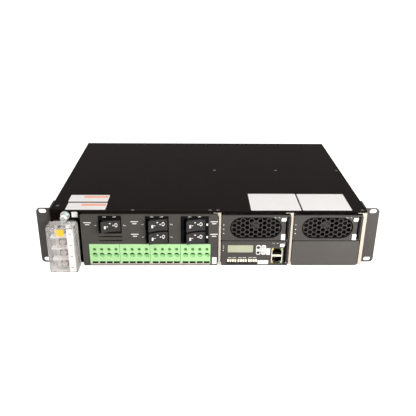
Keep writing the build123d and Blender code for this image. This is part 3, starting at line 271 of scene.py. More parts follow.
# Painted shade: the funnel's floor is the plug's green darkened by the shade of the walls round it, the screw
# well's floor is darker still, and the throat over it is a painted shadow.
SHADED_FUNNEL_FLOOR = Finish("shaded_green_polyamide", "86BE7A", "78B06C", Grain.MOULDED, 0.6, 0.45, 0.06, ior=1.53,
                      bump=0.1, height_mm=0.02)
SHADED_SCREW_FLOOR = Finish("shaded_green_screw_well", "3F7A2F", "366C28", Grain.MOULDED, 0.6, 0.5, 0.06, ior=1.53,
                     bump=0.1, height_mm=0.02)
THROAT_SHADOW = Finish("painted_shadow_in_clamp_funnel", "14360B", "0F2C08", Grain.MOULDED, 0.6, 0.6, 0.06, ior=1.53,
                specular=0.2, bump=0.1, height_mm=0.02)
BARRIER_PA = Finish("grey_moulded_polyamide", "D0CDCB", "C2BFBD", Grain.MOULDED, 0.6, 0.5, 0.06, ior=1.53,
                    bump=0.14, height_mm=0.03, behind="A8A4A1", behind_y=FRONT_Y - 7.9)
# Nickel on brass: the heads shine a little pink, and the clamp plates behind them lie in their own shade.
NICKEL = Finish("nickel_plated_clamp_screw", "EADACF", "D9C8BC", Grain.BRUSHED, 0.4, 0.4, 0.08, metallic=1.0,
                bump=0.1, height_mm=0.02, behind="5C5957", behind_y=FRONT_Y - 9.5)
# Clear polycarbonate, moulded: a faint haze and flow marks, so that edges read against what lies behind.
CLEAR_PC = Finish("clear_moulded_polycarbonate", "F0EDEB", "E8E5E3", Grain.SMOOTH, 9.0, 0.06, 0.03, ior=1.58,
                  transmission=0.92, bump=0.03, height_mm=0.05)
LAMINATE = Finish("green_solder_mask", "14502B", "1B6136", Grain.MOULDED, 1.2, 0.35, 0.06, ior=1.52,
                  bump=0.1, height_mm=0.03)
HANDLE_COAT = Finish("black_pressed_steel", "151413", "1E1C1B", Grain.POWDER, 0.6, 0.42, 0.06, specular=0.15,
                     bump=0.15, height_mm=0.03)
KEY_RUBBER = Finish("grey_silicone_rubber", "B9B8B3", "A7A6A1", Grain.MOULDED, 0.4, 0.6, 0.05, ior=1.43,
                    bump=0.15, height_mm=0.02)
# The sockets' rim is pale, and their moulded inside is black.
SHIELD = Finish("pale_socket_rim", "D3CBBB", "C6BDAC", Grain.MOULDED, 0.4, 0.4, 0.06, ior=1.53, bump=0.08,
                height_mm=0.02, behind="0C0C0C", behind_y=FRONT_Y + 0.1)
LEVER_PA = Finish("cream_levers_black_housing", "F4EBD2", "EADFC2", Grain.MOULDED, 0.4, 0.45, 0.06, ior=1.53,
                  bump=0.1, height_mm=0.02, behind="141312", behind_y=FRONT_Y - 0.05)
LATCH_POM = Finish("white_moulded_acetal", "E8E6E1", "D9D7D2", Grain.MOULDED, 0.4, 0.35, 0.05, ior=1.48,
                   bump=0.08, height_mm=0.02)
DARK_RUBBER = Finish("dark_silicone_rubber", "2E2C2B", "383635", Grain.MOULDED, 0.4, 0.6, 0.05, ior=1.43,
                     bump=0.15, height_mm=0.02)
DISPLAY = Finish("display_pane", "A7A98F", "9EA086", Grain.SMOOTH, 4.0, 0.2, 0.04, specular=0.5, bump=0.02,
                 height_mm=0.01, coat=0.6)
PAPER = Finish("coated_label_paper", "E3E0DD", "D8D5D1", Grain.MOULDED, 0.5, 0.5, 0.06, bump=0.08,
               height_mm=0.01)
YELLOW_INK = Finish("yellow_printing_ink", "F2C230", "E9B725", Grain.MOULDED, 0.5, 0.45, 0.05, bump=0.05,
                    height_mm=0.01)
GREY_INK = Finish("grey_printing_ink", "77736E", "6A6661", Grain.MOULDED, 0.5, 0.55, 0.05, bump=0.05,
                  height_mm=0.01)
SALMON_INK = Finish("salmon_printing_ink", "EBA184", "E19375", Grain.MOULDED, 0.5, 0.45, 0.05, bump=0.05,
                    height_mm=0.01)
WHITE_INK = Finish("white_screen_print", "DEDAD3", "CFCBC4", Grain.MOULDED, 0.4, 0.55, 0.05, bump=0.05,
                   height_mm=0.01)
GOLD = Finish("gold_flashed_contact", "6E5128", "5C4220", Grain.BRUSHED, 0.4, 0.25, 0.05, metallic=1.0,
              bump=0.05, height_mm=0.01)
PALE_PIPE = Finish("pale_light_pipe", "C9CCC4", "B9BCB4", Grain.SMOOTH, 2.0, 0.3, 0.05, ior=1.49, bump=0.02,
                   height_mm=0.01)
AMBER_PIPE = Finish("amber_light_pipe", "BDA146", "AB903A", Grain.SMOOTH, 2.0, 0.25, 0.05, ior=1.49,
                    bump=0.02, height_mm=0.01)
LIGHT_PIPE = Finish("green_light_pipe", "93AC82", "839C72", Grain.SMOOTH, 2.0, 0.25, 0.05, ior=1.49,
                    bump=0.02, height_mm=0.01)

NODE_FINISHES = {
    "chassis_tray": BLACK_COAT, "top_cover": BLACK_COAT, "ear_left": EAR_COAT, "ear_right": EAR_COAT,
    "chassis_screws": DARK_ZINC, "distribution_panel": PANEL_COAT, "divider_left": CREAM_COAT,
    "divider_middle": CREAM_COAT, "divider_right": CREAM_COAT, "bay_shelf": GALVANISED,
    "backplane_board": LAMINATE, "backplane_connectors": BLACK_ABS, "negative_busbar": COPPER,
    "positive_busbar": COPPER, "dc_header": GREEN_PA, "ac_terminal_block": BARRIER_PA,
    "ac_terminal_screws": NICKEL, "ac_cover": CLEAR_PC, "ground_screw": ZINC, "network_ports": SHIELD,
    "alarm_terminals": LEVER_PA, "monitor_lcd": DISPLAY, "blank_panel": BLANK_COAT,
    "monitor_key_up": DARK_RUBBER, "monitor_key_down": DARK_RUBBER,
}
NODE_ENDINGS = {
    "_rocker": ROCKER_PC, "_case": GALVANISED, "_front": FRONT_ABS, "_board": LAMINATE,
    "_fan_frame": BLACK_ABS, "_fan_rotor": BLACK_ABS, "_handle": HANDLE_COAT, "_latch": LATCH_POM,
}


class Finishes:
    """Builds each finish once and hands it out."""

    def __init__(self) -> None:
        """Starts with no material built."""
        self.built: dict[str, Material] = {}

    def get(self, finish: Finish) -> Material:
        """Gives the material of a finish.

        Args:
            finish: The finish.

        Returns:
            Its material, built at the first call.
        """
        if finish.name not in self.built:
            self.built[finish.name] = finish.build()
        return self.built[finish.name]


def node_finish(node: str) -> Finish:
    """Finds the finish of a node of the frame.

    Args:
        node: The node's name.

    Returns:
        Its finish.
    """
    if node in NODE_FINISHES:
        return NODE_FINISHES[node]
    if node.startswith("dc_plug"):
        return GREEN_PA
    if node.startswith("monitor_key"):
        return KEY_RUBBER
    if "breaker" in node and node.endswith("_case"):
        return BLACK_ABS
    return next(finish for ending, finish in NODE_ENDINGS.items() if node.endswith(ending))


def mesh_piece(name: str, build: bmesh.types.BMesh, finish: Material, body: str) -> Object:
    """Makes a piece from a mesh in millimetres.

    Args:
        name: The piece's name.
        build: The mesh, which is freed.
        finish: Its material.
        body: The body that it rides on.

    Returns:
        The new object.
    """
    bmesh.ops.scale(build, vec=(MM, MM, MM), verts=build.verts)
    bmesh.ops.recalc_face_normals(build, faces=build.faces)
    mesh = bpy.data.meshes.new(name)
    build.to_mesh(mesh)
    build.free()
    piece = bpy.data.objects.new(name, mesh)
    bpy.context.scene.collection.objects.link(piece)
    mesh.materials.append(finish)
    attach(piece, body)
    LOG.info("%s: %d faces on %s", name, len(mesh.polygons), body)
    return piece


def rounded(width: float, height: float, radius: float, steps: int = 4) -> Flat:
    """Outline of a rounded rectangle about its middle.

    Args:
        width: Size along the first direction.
        height: Size along the second direction.
        radius: Radius of the corners.
        steps: Points on each corner.

    Returns:
        The points, anticlockwise.
    """
    points = []
    for corner, (side, rise) in enumerate(((1, 1), (-1, 1), (-1, -1), (1, -1))):
        for step in range(steps + 1):
            angle = math.pi / 2 * (corner + step / steps)
            points.append((side * (width / 2 - radius) + radius * math.cos(angle),
                           rise * (height / 2 - radius) + radius * math.sin(angle)))
    return points


def disc(radius: float, steps: int) -> Flat:
    """Outline of a disc about its middle, with a number of points on each quarter."""
    return rounded(2 * radius, 2 * radius, radius, steps)


def on_front(x: float, z: float, y: float = FRONT_Y) -> Place:
    """Gives the places about a middle on a plane that faces the front, and heights over it."""
    return lambda u, v, lift: (x + u, y - lift, z + v)


def on_lid(x: float, y: float) -> Place:
    """Gives the places about a middle on the lid, and heights over it."""
    return lambda u, v, lift: (x + u, y + v, LID_Z + lift)


def add_patch(build: bmesh.types.BMesh, outline: Flat, place: Place, lift: float = 0.06,
              root: float = -0.02) -> None:
    """Adds a closed patch that lies on a surface.

    Args:
        build: The mesh.
        outline: Its outline.
        place: The surface.
        lift: Height of its top above the surface.
        root: Height of its underside.
    """
    low = [build.verts.new(Vector(place(u, v, root))) for u, v in outline]
    high = [build.verts.new(Vector(place(u, v, lift))) for u, v in outline]
    build.faces.new(low)
    build.faces.new(high)
    for index, vertex in enumerate(low):
        following = (index + 1) % len(low)
        build.faces.new((vertex, low[following], high[following], high[index]))


def add_ring(build: bmesh.types.BMesh, radius: float, width: float, place: Place, lift: float = 0.06,
             narrow: float = 1.0, sides: int = 20) -> None:
    """Adds a flat ring that lies on a surface.

    Args:
        build: The mesh.
        radius: Its outer radius.
        width: Width of its line.
        place: The surface.
        lift: Height of its top above the surface.
        narrow: Its breadth as a share of its height.
        sides: Number of its sides.
    """
    for side in range(sides):
        corners = []
        inner = radius - width
        for reach, step in ((radius, side), (radius, side + 1), (inner, side + 1), (inner, side)):
            angle = 2 * math.pi * step / sides
            corners.append((narrow * reach * math.cos(angle), reach * math.sin(angle)))
        add_patch(build, corners, place, lift)


def add_word(build: bmesh.types.BMesh, text: str, height: float, place: Place, lift: float = 0.06) -> None:
    """Adds a word of generic lettering that lies on a surface.

    Args:
        build: The mesh.
        text: The word.
        height: Height of its capitals.
        place: The surface, about the word's middle.
        lift: Height above the surface.
    """
    curve = bpy.data.curves.new(text, "FONT")
    curve.body = text
    curve.align_x = "CENTER"
    curve.align_y = "CENTER"
    curve.size = height * 1.4
    curve.resolution_u = 3
    holder = bpy.data.objects.new(text, curve)
    mesh = bpy.data.meshes.new_from_object(holder)
    points = [build.verts.new(Vector(place(vertex.co.x, vertex.co.y, lift))) for vertex in mesh.vertices]
    for polygon in mesh.polygons:
        build.faces.new([points[index] for index in polygon.vertices])
    bpy.data.objects.remove(holder)
    bpy.data.curves.remove(curve)
    bpy.data.meshes.remove(mesh)


def node_span(node: str) -> tuple[Vector, Vector]:
    """Gives the lowest and the highest corner of a node in millimetres."""
    low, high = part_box(node)
    return Vector(low) / MM, Vector(high) / MM


def rocker_pivot(breaker: str) -> Vector:
    """Finds a point on the axis about which a breaker's rocker turns, in millimetres."""
    joint = next(joint for joint in frame["joints"] if joint["name"] == breaker + "_switch")
    return Vector(joint["pos_m"]) / MM


@dataclass(frozen=True)
class Lamp:
    """One square soft lamp.

    Args:
        name: Its name.
        place: Where it hangs, in metres.
        target: What it points at, in metres.
        side: Length of its side, in metres.
        watts: Its power.
    """

    name: str
    place: Point
    target: Point
    side: float
    watts: float

    def build(self) -> None:
        """Hangs the lamp and points it."""
        data = bpy.data.lights.new(self.name, "AREA")
        data.shape = "SQUARE"
        data.size = self.side
        data.energy = self.watts
        lamp = bpy.data.objects.new(self.name, data)
        turn = (Vector(self.target) - Vector(self.place)).to_track_quat("-Z", "Y").to_matrix().to_4x4()
        lamp.matrix_world = Matrix.Translation(self.place) @ turn
        bpy.context.scene.collection.objects.link(lamp)


@dataclass
class Studio:
    """Camera, lamps, floor and backdrop.

    Args:
        eye_mm: Place of the camera.
        yaw: Turn to the right, in radians.
        pitch: Tilt downwards, in radians.
        roll: Roll, in radians.
        lens: Focal length in millimetres.
        sensor: Width of the sensor in millimetres.
        ambient: Strength of the room's light.
        floor_reach: How far the floor goes each way, in metres.
        floor_gap: How far it lies under the shelf, in metres.
        paper_grey: How much light the floor throws back.
        paper_glow: How much the camera sees on top of that.
        lamps: The lamps.
    """

    eye_mm: Point = (-17.947, -713.576, 405.544)
    yaw: float = 0.02337
    pitch: float = 0.42119
    roll: float = 0.01105
    lens: float = 48.224
    sensor: float = 36.0
    ambient: float = 0.25
    floor_reach: float = 6.0
    floor_gap: float = 0.0004
    paper_grey: float = 0.6
    paper_glow: float = 0.9
    lamps: tuple[Lamp, ...] = (
        Lamp("soft_key", (-0.7, -0.5, 1.6), (0, 0.1, 0.05), 1.4, 23.0),
        Lamp("soft_fill", (-0.2, -1.6, 0.7), (0, 0, 0.04), 1.2, 2.0),
        # The photograph grows brighter towards the right ear, so this lamp hangs close to it.
        Lamp("side_fill", (0.62, -0.66, 0.3), (0.1, 0, 0.04), 0.5, 12.0),
    )

    def place_camera(self) -> None:
        """Puts the camera where the photograph was taken from."""
        cos_y, sin_y = math.cos(self.yaw), math.sin(self.yaw)
        cos_p, sin_p = math.cos(self.pitch), math.sin(self.pitch)
        forward = Vector((sin_y * cos_p, cos_y * cos_p, -sin_p))
        right = Vector((cos_y, -sin_y, 0))
        up = right.cross(forward)
        turned_right = math.cos(self.roll) * right + math.sin(self.roll) * up
        turned_up = math.cos(self.roll) * up - math.sin(self.roll) * right
        data = bpy.data.cameras.new("camera")
        data.sensor_width = self.sensor
        data.lens = self.lens
        data.clip_start = 0.01
        camera = bpy.data.objects.new("camera", data)
        view = Matrix((turned_right, turned_up, -forward)).transposed().to_4x4()
        view.translation = Vector(self.eye_mm) * MM
        camera.matrix_world = view
        bpy.context.scene.collection.objects.link(camera)
        bpy.context.scene.camera = camera

    def light_room(self) -> None:
        """Sets a white backdrop for camera, gloss and clear plastic, and an even light for the rest."""
        world = bpy.data.worlds.new("studio")
        bpy.context.scene.world = world
        world.use_nodes = True
        tree = world.node_tree
        tree.nodes.clear()
        path = add_node(tree, "ShaderNodeLightPath")
        glossy = add_node(tree, "ShaderNodeMath", {"operation": "MAXIMUM"},
                          {0: path.outputs["Is Camera Ray"], 1: path.outputs["Is Glossy Ray"]})
        seen = add_node(tree, "ShaderNodeMath", {"operation": "MAXIMUM"},
                        {0: glossy.outputs[0], 1: path.outputs["Is Transmission Ray"]})
        level = add_node(tree, "ShaderNodeMapRange", {1: 0.0, 2: 1.0, 3: self.ambient, 4: 1.0},
                         {0: seen.outputs[0]})
        light = add_node(tree, "ShaderNodeBackground", {"Color": (1, 1, 1, 1)},
                         {"Strength": level.outputs[0]})
        add_node(tree, "ShaderNodeOutputWorld", links={0: light.outputs[0]})

    def lay_floor(self) -> None:
        """Lays a white floor that keeps the shelf's shadow."""
        build = bmesh.new()
        for side, along in ((-1, -1), (1, -1), (1, 1), (-1, 1)):
            build.verts.new((side * self.floor_reach, along * self.floor_reach, -self.floor_gap))
        build.faces.new(build.verts)
        mesh = bpy.data.meshes.new("floor")
        build.to_mesh(mesh)
        build.free()
        material = bpy.data.materials.new("white_paper_floor")
        material.use_nodes = True
        tree = material.node_tree
        tree.nodes.clear()
        path = add_node(tree, "ShaderNodeLightPath")
        paper = add_node(tree, "ShaderNodeBsdfDiffuse", {"Color": (*[self.paper_grey] * 3, 1)})
        glow = add_node(tree, "ShaderNodeEmission", {"Color": (1, 1, 1, 1), "Strength": self.paper_glow})
        both = add_node(tree, "ShaderNodeAddShader", links={0: paper.outputs[0], 1: glow.outputs[0]})
        mixed = add_node(tree, "ShaderNodeMixShader",
                         links={0: path.outputs["Is Camera Ray"], 1: paper.outputs[0], 2: both.outputs[0]})
        add_node(tree, "ShaderNodeOutputMaterial", links={0: mixed.outputs[0]})
        mesh.materials.append(material)
        floor = bpy.data.objects.new("floor", mesh)
        bpy.context.scene.collection.objects.link(floor)

    def build(self) -> None:
        """Sets up the whole studio."""
        self.place_camera()
        self.light_room()
        for lamp in self.lamps:
            lamp.build()
        self.lay_floor()
        bpy.context.scene.view_settings.view_transform = "Standard"


@dataclass
class LidLabels:
    """Plain stickers on the lid, left without print.

    Args:
        lift: Thickness of a sticker.
        corner: Radius of its corners.
        plates: Middle across, middle along, width and depth of each sticker.
        band_share: Width of a coloured band as a share of its sticker.
        band_depth: Depth of the band.
        band_corner: Radius of its corners.
        band_lift: Height of its top over the lid.
    """

    lift: float = 0.02
    corner: float = 1.4
    plates: tuple[tuple[float, float, float, float], ...] = (
        (-172.8, 33.1, 56.4, 24.6), (-171.8, 4.9, 55.5, 24.2), (93.9, 21.0, 70.3, 60.0),
        (165.9, 20.9, 69.3, 59.1))
    band_share: float = 0.62
    band_depth: float = 7.0
    band_corner: float = 0.3
    band_lift: float = 0.032

    def build(self, finishes: Finishes) -> None:
        """Lays the stickers and the coloured bands of the two on the left.

        Args:
            finishes: The finishes.
        """
        paper, bands = bmesh.new(), bmesh.new()
        for x, y, width, depth in self.plates:
            add_patch(paper, rounded(width, depth, self.corner), on_lid(x, y), self.lift)
            if x < 0:
                band = rounded(width * self.band_share, self.band_depth, self.band_corner)
                shift = width * (1 - self.band_share) / 2 - self.corner
                add_patch(bands, band, on_lid(x + shift, y + depth / 2 - self.band_depth), self.band_lift)
        mesh_piece("lid_stickers", paper, finishes.get(PAPER), "shelf")
        mesh_piece("lid_sticker_bands", bands, finishes.get(SALMON_INK), "shelf")


@dataclass
class PanelMarks:
    """Print and small plates on the distribution panel and beside the ground screw, and a painted highlight
    on the panel's foot.

    Args:
        word_height: Height of the capitals over the rockers.
        words: Each word, and how far its middle stands from a rocker's axis.
        battery_top: Middle height of the words over the battery rocker.
        load_top: Middle height of the words over the load rockers.
        tee_reach: How far the middle of a tee's dash stands from a rocker's axis.
        dash: Length and width of the dash.
        stem: Height of a tee's stem, and how far its middle stands over the dash.
        legend_reach: How far the middle of a legend stands left of a rocker's axis.
        legend_right: The same right of it, beside the breakers on the right.
        legend_lines: Height over the axis and length of each plain line of a legend.
        legend_stroke: Width of such a line.
        indicator: Distance from the axis, width and height of a breaker's indicator.
        panel_plate: Distance from the right edge, height over the foot, width and height of the plate.
        ground_plate: Distance right of and under the ground screw's corner, and side of its plate.
        ground_depth: How far the surface under that plate lies behind the panel's face.
        lip_height: Height of the bright lip under the terminals.
        lip_drop: How far its middle lies under their feet.
    """

    word_height: float = 2.0
    words: tuple[tuple[str, float], ...] = (("ON", -7.0), ("OFF", 6.6))
    battery_top: float = 77.3
    load_top: float = 77.5
    tee_reach: float = 20.5
    dash: tuple[float, float] = (3.0, 0.6)
    stem: tuple[float, float] = (1.6, 0.6)
    legend_reach: float = 31.4
    legend_right: float = 27.318
    legend_lines: tuple[tuple[float, float], ...] = ((4.5, 10.6), (1.4, 6.0))
    legend_stroke: float = 1.3
    indicator: tuple[float, float, float] = (17.6, 2.4, 3.2)
    panel_plate: tuple[float, float, float, float] = (4.6, 7.8, 6.6, 11.0)
    ground_plate: tuple[float, float, float] = (6.4, 5.8, 8.4)
    ground_depth: float = 6.7
    # lip_height: Height of the painted highlight on the lip under the terminals.
    lip_height: float = 2.3
    lip_drop: float = 1.65

    def build(self, finishes: Finishes) -> None:
        """Builds the print, the indicators, the plates and the painted highlight on the lip.

        Args:
            finishes: The finishes.
        """
        ink = bmesh.new()
        self.add_words(ink)
        self.add_tees(ink)
        self.add_legends(ink)
        mesh_piece("panel_print", ink, finishes.get(WHITE_INK), "shelf")
        pipes = bmesh.new()
        reach, width, height = self.indicator
        for name in RIGHT_BREAKERS:
            pivot = rocker_pivot(name)
            add_patch(pipes, rounded(width, height, 0.4), on_front(pivot.x + reach, pivot.z), 0.1)
        mesh_piece("breaker_indicators", pipes, finishes.get(LATCH_POM), "shelf")
        self.build_plates(finishes)
        # A light strip painted as the highlight on the panel's folded foot.
        lip = bmesh.new()
        first, last = node_span("dc_plug_1")[0], node_span("dc_plug_4")[1]
        add_patch(lip, rounded(last.x - first.x, self.lip_height, 0.3),
                  on_front((first.x + last.x) / 2, first.z - self.lip_drop))
        mesh_piece("panel_foot_lip_highlight", lip, finishes.get(LIP_HIGHLIGHT), "shelf")

    def add_words(self, ink: bmesh.types.BMesh) -> None:
        """Adds ON and OFF over the highest rocker of each column.

        Args:
            ink: The print's mesh.
        """
        for name, top in (("battery_breaker", self.battery_top), ("load_breaker_1", self.load_top),
                          ("load_breaker_3", self.load_top)):
            for word, shift in self.words:
                add_word(ink, word, self.word_height, on_front(rocker_pivot(name).x + shift, top))

    def add_tees(self, ink: bmesh.types.BMesh) -> None:
        """Adds a lying tee at both sides of the breakers left of the indicators.

        Args:
            ink: The print's mesh.
        """
        length, stroke = self.dash
        height, rise = self.stem
        for name in LEFT_BREAKERS:
            pivot = rocker_pivot(name)
            for side in (-1, 1):
                x = pivot.x + side * self.tee_reach
                add_patch(ink, rounded(length, stroke, 0.2), on_front(x, pivot.z))
                add_patch(ink, rounded(stroke, height, 0.2), on_front(x - side * length / 2, pivot.z + rise))

    def add_legends(self, ink: bmesh.types.BMesh) -> None:
        """Adds the plain lines that stand for each breaker's legend.

        Args:
            ink: The print's mesh.
        """
        for name in LEFT_BREAKERS + RIGHT_BREAKERS:
            pivot = rocker_pivot(name)
            shift = self.legend_right if name in RIGHT_BREAKERS else -self.legend_reach
            for height, length in self.legend_lines:
                add_patch(ink, rounded(length, self.legend_stroke, 0.3),
                          on_front(pivot.x + shift, pivot.z + height))

    def build_plates(self, finishes: Finishes) -> None:
        """Builds the bare plate of the panel and that of the ground screw.

        Args:
            finishes: The finishes.
        """
        plates = bmesh.new()
        low, high = node_span("distribution_panel")
        inset, rise, width, height = self.panel_plate
        add_patch(plates, rounded(width, height, 0.4), on_front(high.x - inset, low.z + rise))
        corner = node_span("ground_screw")[1]
        right, drop, side = self.ground_plate
        add_patch(plates, rounded(side, side, 0.4),
                  on_front(corner.x + right, corner.z - drop, FRONT_Y + self.ground_depth))
        mesh_piece("small_plates", plates, finishes.get(PAPER), "shelf")


@dataclass
class Rocker:
    """White I and O marks moulded into the two ends of a rocker, with a dash, a dot and a square of painted
    highlight.

    Args:
        breaker: The breaker's name.
        half: Half the rocker's width.
        tip: How far its ends stand forward of the axis.
        dish: Depth of its hollow front.
        rest_angle: Its angle at rest, in degrees.
        lift: How far a mark stands out of the surface.
        strokes: Middle across and upwards from the axis, width, height and corner of the bar, and of the
            dash, dot and square of painted highlight.
        ring: Middle across and upwards, radius, line and breadth share of the ring.
    """

    breaker: str
    half: float = 13.5
    tip: float = 6.4
    dish: float = 2.2
    rest_angle: float = 16.0
    lift: float = 0.08
    strokes: tuple[tuple[float, float, float, float, float], ...] = (
        (-7.8, -0.6, 2.6, 4.6, 0.5), (-4.4, 0.2, 2.2, 0.9, 0.3), (-0.6, 4.4, 2.0, 1.6, 0.5),
        (3.6, 1.0, 1.8, 1.8, 0.5))
    ring: tuple[float, float, float, float, float] = (7.6, 1.2, 3.1, 1.2, 0.66)

    def surface(self, x: float, z: float) -> Place:
        """Gives the places on the hollow front, about a middle.

        Args:
            x: Middle across, from the axis.
            z: Middle upwards, from the axis.

        Returns:
            A function of two sizes and a height above the surface.
        """
        pivot = rocker_pivot(self.breaker)
        turn = math.radians(self.rest_angle)

        def place(u: float, v: float, lift: float) -> Point:
            """Turns a point of the rocker into the frame."""
            across = x + u
            depth = self.dish * (1 - (across / self.half) ** 2) - self.tip - lift
            return (pivot.x + across * math.cos(turn) - depth * math.sin(turn),
                    pivot.y + across * math.sin(turn) + depth * math.cos(turn), pivot.z + z + v)

        return place

    def build(self, finishes: Finishes) -> None:
        """Builds the bar, the ring and the painted highlights: a dash, a dot and a square.

        Args:
            finishes: The finishes.
        """
        marks = bmesh.new()
        # The I bar, then a dash, a dot and a square that are painted highlights.
        for x, z, width, height, corner in self.strokes:
            add_patch(marks, rounded(width, height, corner), self.surface(x, z), self.lift)
        x, z, radius, line, narrow = self.ring
        add_ring(marks, radius, line, self.surface(x, z), self.lift, narrow)
        mesh_piece(self.breaker + "_marks", marks, finishes.get(WHITE_INK), self.breaker + "_rocker")


@dataclass
class PlugDetail:
    """Painted shade in the wire funnels, screw wells and key slots of one pluggable terminal.

    Args:
        number: Number of the plug from the left.
        poles: Number of poles.
        pitch: Distance from pole to pole.
        offset: How far the poles stand right of the plug's middle.
        wire: Height above the plug's foot, radius and depth of the floor of a wire funnel.
        screw: The same of the floor of a screw hole.
        floor_thickness: Thickness of both floors.
        throat: How far above the middle of its funnel the painted shadow at its top begins.
        throat_gap: Room between that painted shadow and the funnel's wall.
        slot_shade: Height, width, rise and depth of the black patch painted as the shade in a key slot.
        slot_shade_thickness: How far that patch goes in.
    """

    number: int
    poles: int = 4
    pitch: float = 10.16
    offset: float = 1.0
    wire: tuple[float, float, float] = (13.2, 3.25, 1.0)
    screw: tuple[float, float, float] = (22.6, 2.1, 0.8)
    floor_thickness: float = 0.5
    throat: float = 0.7
    throat_gap: float = 0.1
    slot_shade: tuple[float, float, float, float] = (1.6, 8.4, 3.1, 0.9)
    slot_shade_thickness: float = 2.0

    def build(self, finishes: Finishes) -> None:
        """Builds the shaded floors of each pole, the painted shadow at the top of its funnel and the painted
        shade in its key slot.

        Args:
            finishes: The finishes.
        """
        node = f"dc_plug_{self.number}"
        low, high = node_span(node)
        floors, wells, throat_shadows, slot_shades = bmesh.new(), bmesh.new(), bmesh.new(), bmesh.new()
        for pole in range(self.poles):
            x = (low.x + high.x) / 2 + self.offset + self.pitch * (pole - (self.poles - 1) / 2)
            # Both floors are green darkened by painted shade.
            for build, (height, radius, depth) in ((floors, self.wire), (wells, self.screw)):
                add_patch(build, disc(radius, 4), on_front(x, low.z + height, low.y + depth), 0.0,
                          -self.floor_thickness)
            height, radius, depth = self.wire
            # A dark crescent painted as the shadow in the top of each wire funnel.
            add_patch(throat_shadows, self.crescent(radius - self.throat_gap),
                      on_front(x, low.z + height, low.y + depth), 0.05, -0.2)
            # A black patch painted as the shade deep in each key slot.
            height, width, rise, depth = self.slot_shade
            add_patch(slot_shades, rounded(width, rise, 0.2), on_front(x, low.z + height, low.y + depth), 0.0,
                      -self.slot_shade_thickness)
        for name, build, finish in (("_funnel_floors", floors, SHADED_FUNNEL_FLOOR),
                                    ("_screw_wells", wells, SHADED_SCREW_FLOOR),
                                    ("_throat_shadows", throat_shadows, THROAT_SHADOW), ("_key_slot_shades", slot_shades, BLACK_ABS)):
            mesh_piece(node + name, build, finishes.get(finish), node)

    def crescent(self, radius: float, steps: int = 8) -> Flat:
        """Outline of the painted shadow in the upper part of a funnel.

        Args:
            radius: Radius of its arc.
            steps: Runs of the arc.

        Returns:
            The points, anticlockwise.
        """
        low = math.asin(self.throat / radius)
        angles = [low + (math.pi - 2 * low) * step / steps for step in range(steps + 1)]
        return [(radius * math.cos(angle), radius * math.sin(angle)) for angle in angles]


@dataclass
class CoverPlates:
    """Bare plates on the front of the clear terminal cover.

    Args:
        yellow: Middle across, middle height, width and height of the yellow plate.
        strip: The same of the white strip.
        tick: Width and height of a plain tick on the strip.
        tick_heights: Heights of the ticks.
        lift: Thickness of a plate.
        tick_lift: Height of a tick's top over the cover.
    """

    yellow: tuple[float, float, float, float] = (-202.6, 63.7, 9.8, 10.0)
    strip: tuple[float, float, float, float] = (-189.6, 36.0, 9.0, 65.5)
    tick: tuple[float, float] = (3.4, 0.8)
    tick_heights: tuple[float, ...] = (10.0, 27.3, 44.6, 61.9)
    lift: float = 0.02
    tick_lift: float = 0.036

    def build(self, finishes: Finishes) -> None:
        """Builds both plates and the ticks.

        Args:
            finishes: The finishes.
        """
        front = node_span("ac_cover")[0].y
        for name, (x, z, width, height), finish in (("cover_yellow_plate", self.yellow, YELLOW_INK),
                                                    ("cover_white_strip", self.strip, PAPER)):
            plate = bmesh.new()
            add_patch(plate, rounded(width, height, 0.5), on_front(x, z, front), self.lift)
            mesh_piece(name, plate, finishes.get(finish), "ac_cover")
        ticks = bmesh.new()
        for z in self.tick_heights:
            add_patch(ticks, rounded(*self.tick, 0.2), on_front(self.strip[0], z, front), self.tick_lift)
        mesh_piece("cover_strip_ticks", ticks, finishes.get(GREY_INK), "ac_cover")


@dataclass
class LockMarks:
    """The two plain marks between which a module's latch slides.

    Args:
        body: The module's body.
        marks: How far each mark's middle stands left of the latch's, and the mark's width.
        rise: How far they stand over the latch's middle.
        high: Half the height of a mark.
        low: Half the height of its two inner corners.
    """

    body: str
    marks: tuple[tuple[float, float], ...] = ((13.2, 2.8), (7.4, 2.2))
    rise: float = 2.7
    high: float = 0.7
    low: float = 0.1

    def build(self, finishes: Finishes) -> None:
        """Prints both marks.

        Args:
            finishes: The finishes.
        """
        latch_low, latch_high = node_span(self.body + "_latch")
        middle = (latch_low + latch_high) / 2
        ink = bmesh.new()
        for left, width in self.marks:
            outline = [(-width / 2, self.high), (-width / 2, self.low), (width / 2, -self.high),
                       (width / 2, -self.low)]
            add_patch(ink, outline, on_front(middle.x - left, middle.z + self.rise))
        mesh_piece(self.body + "_lock_marks", ink, finishes.get(WHITE_INK), self.body)


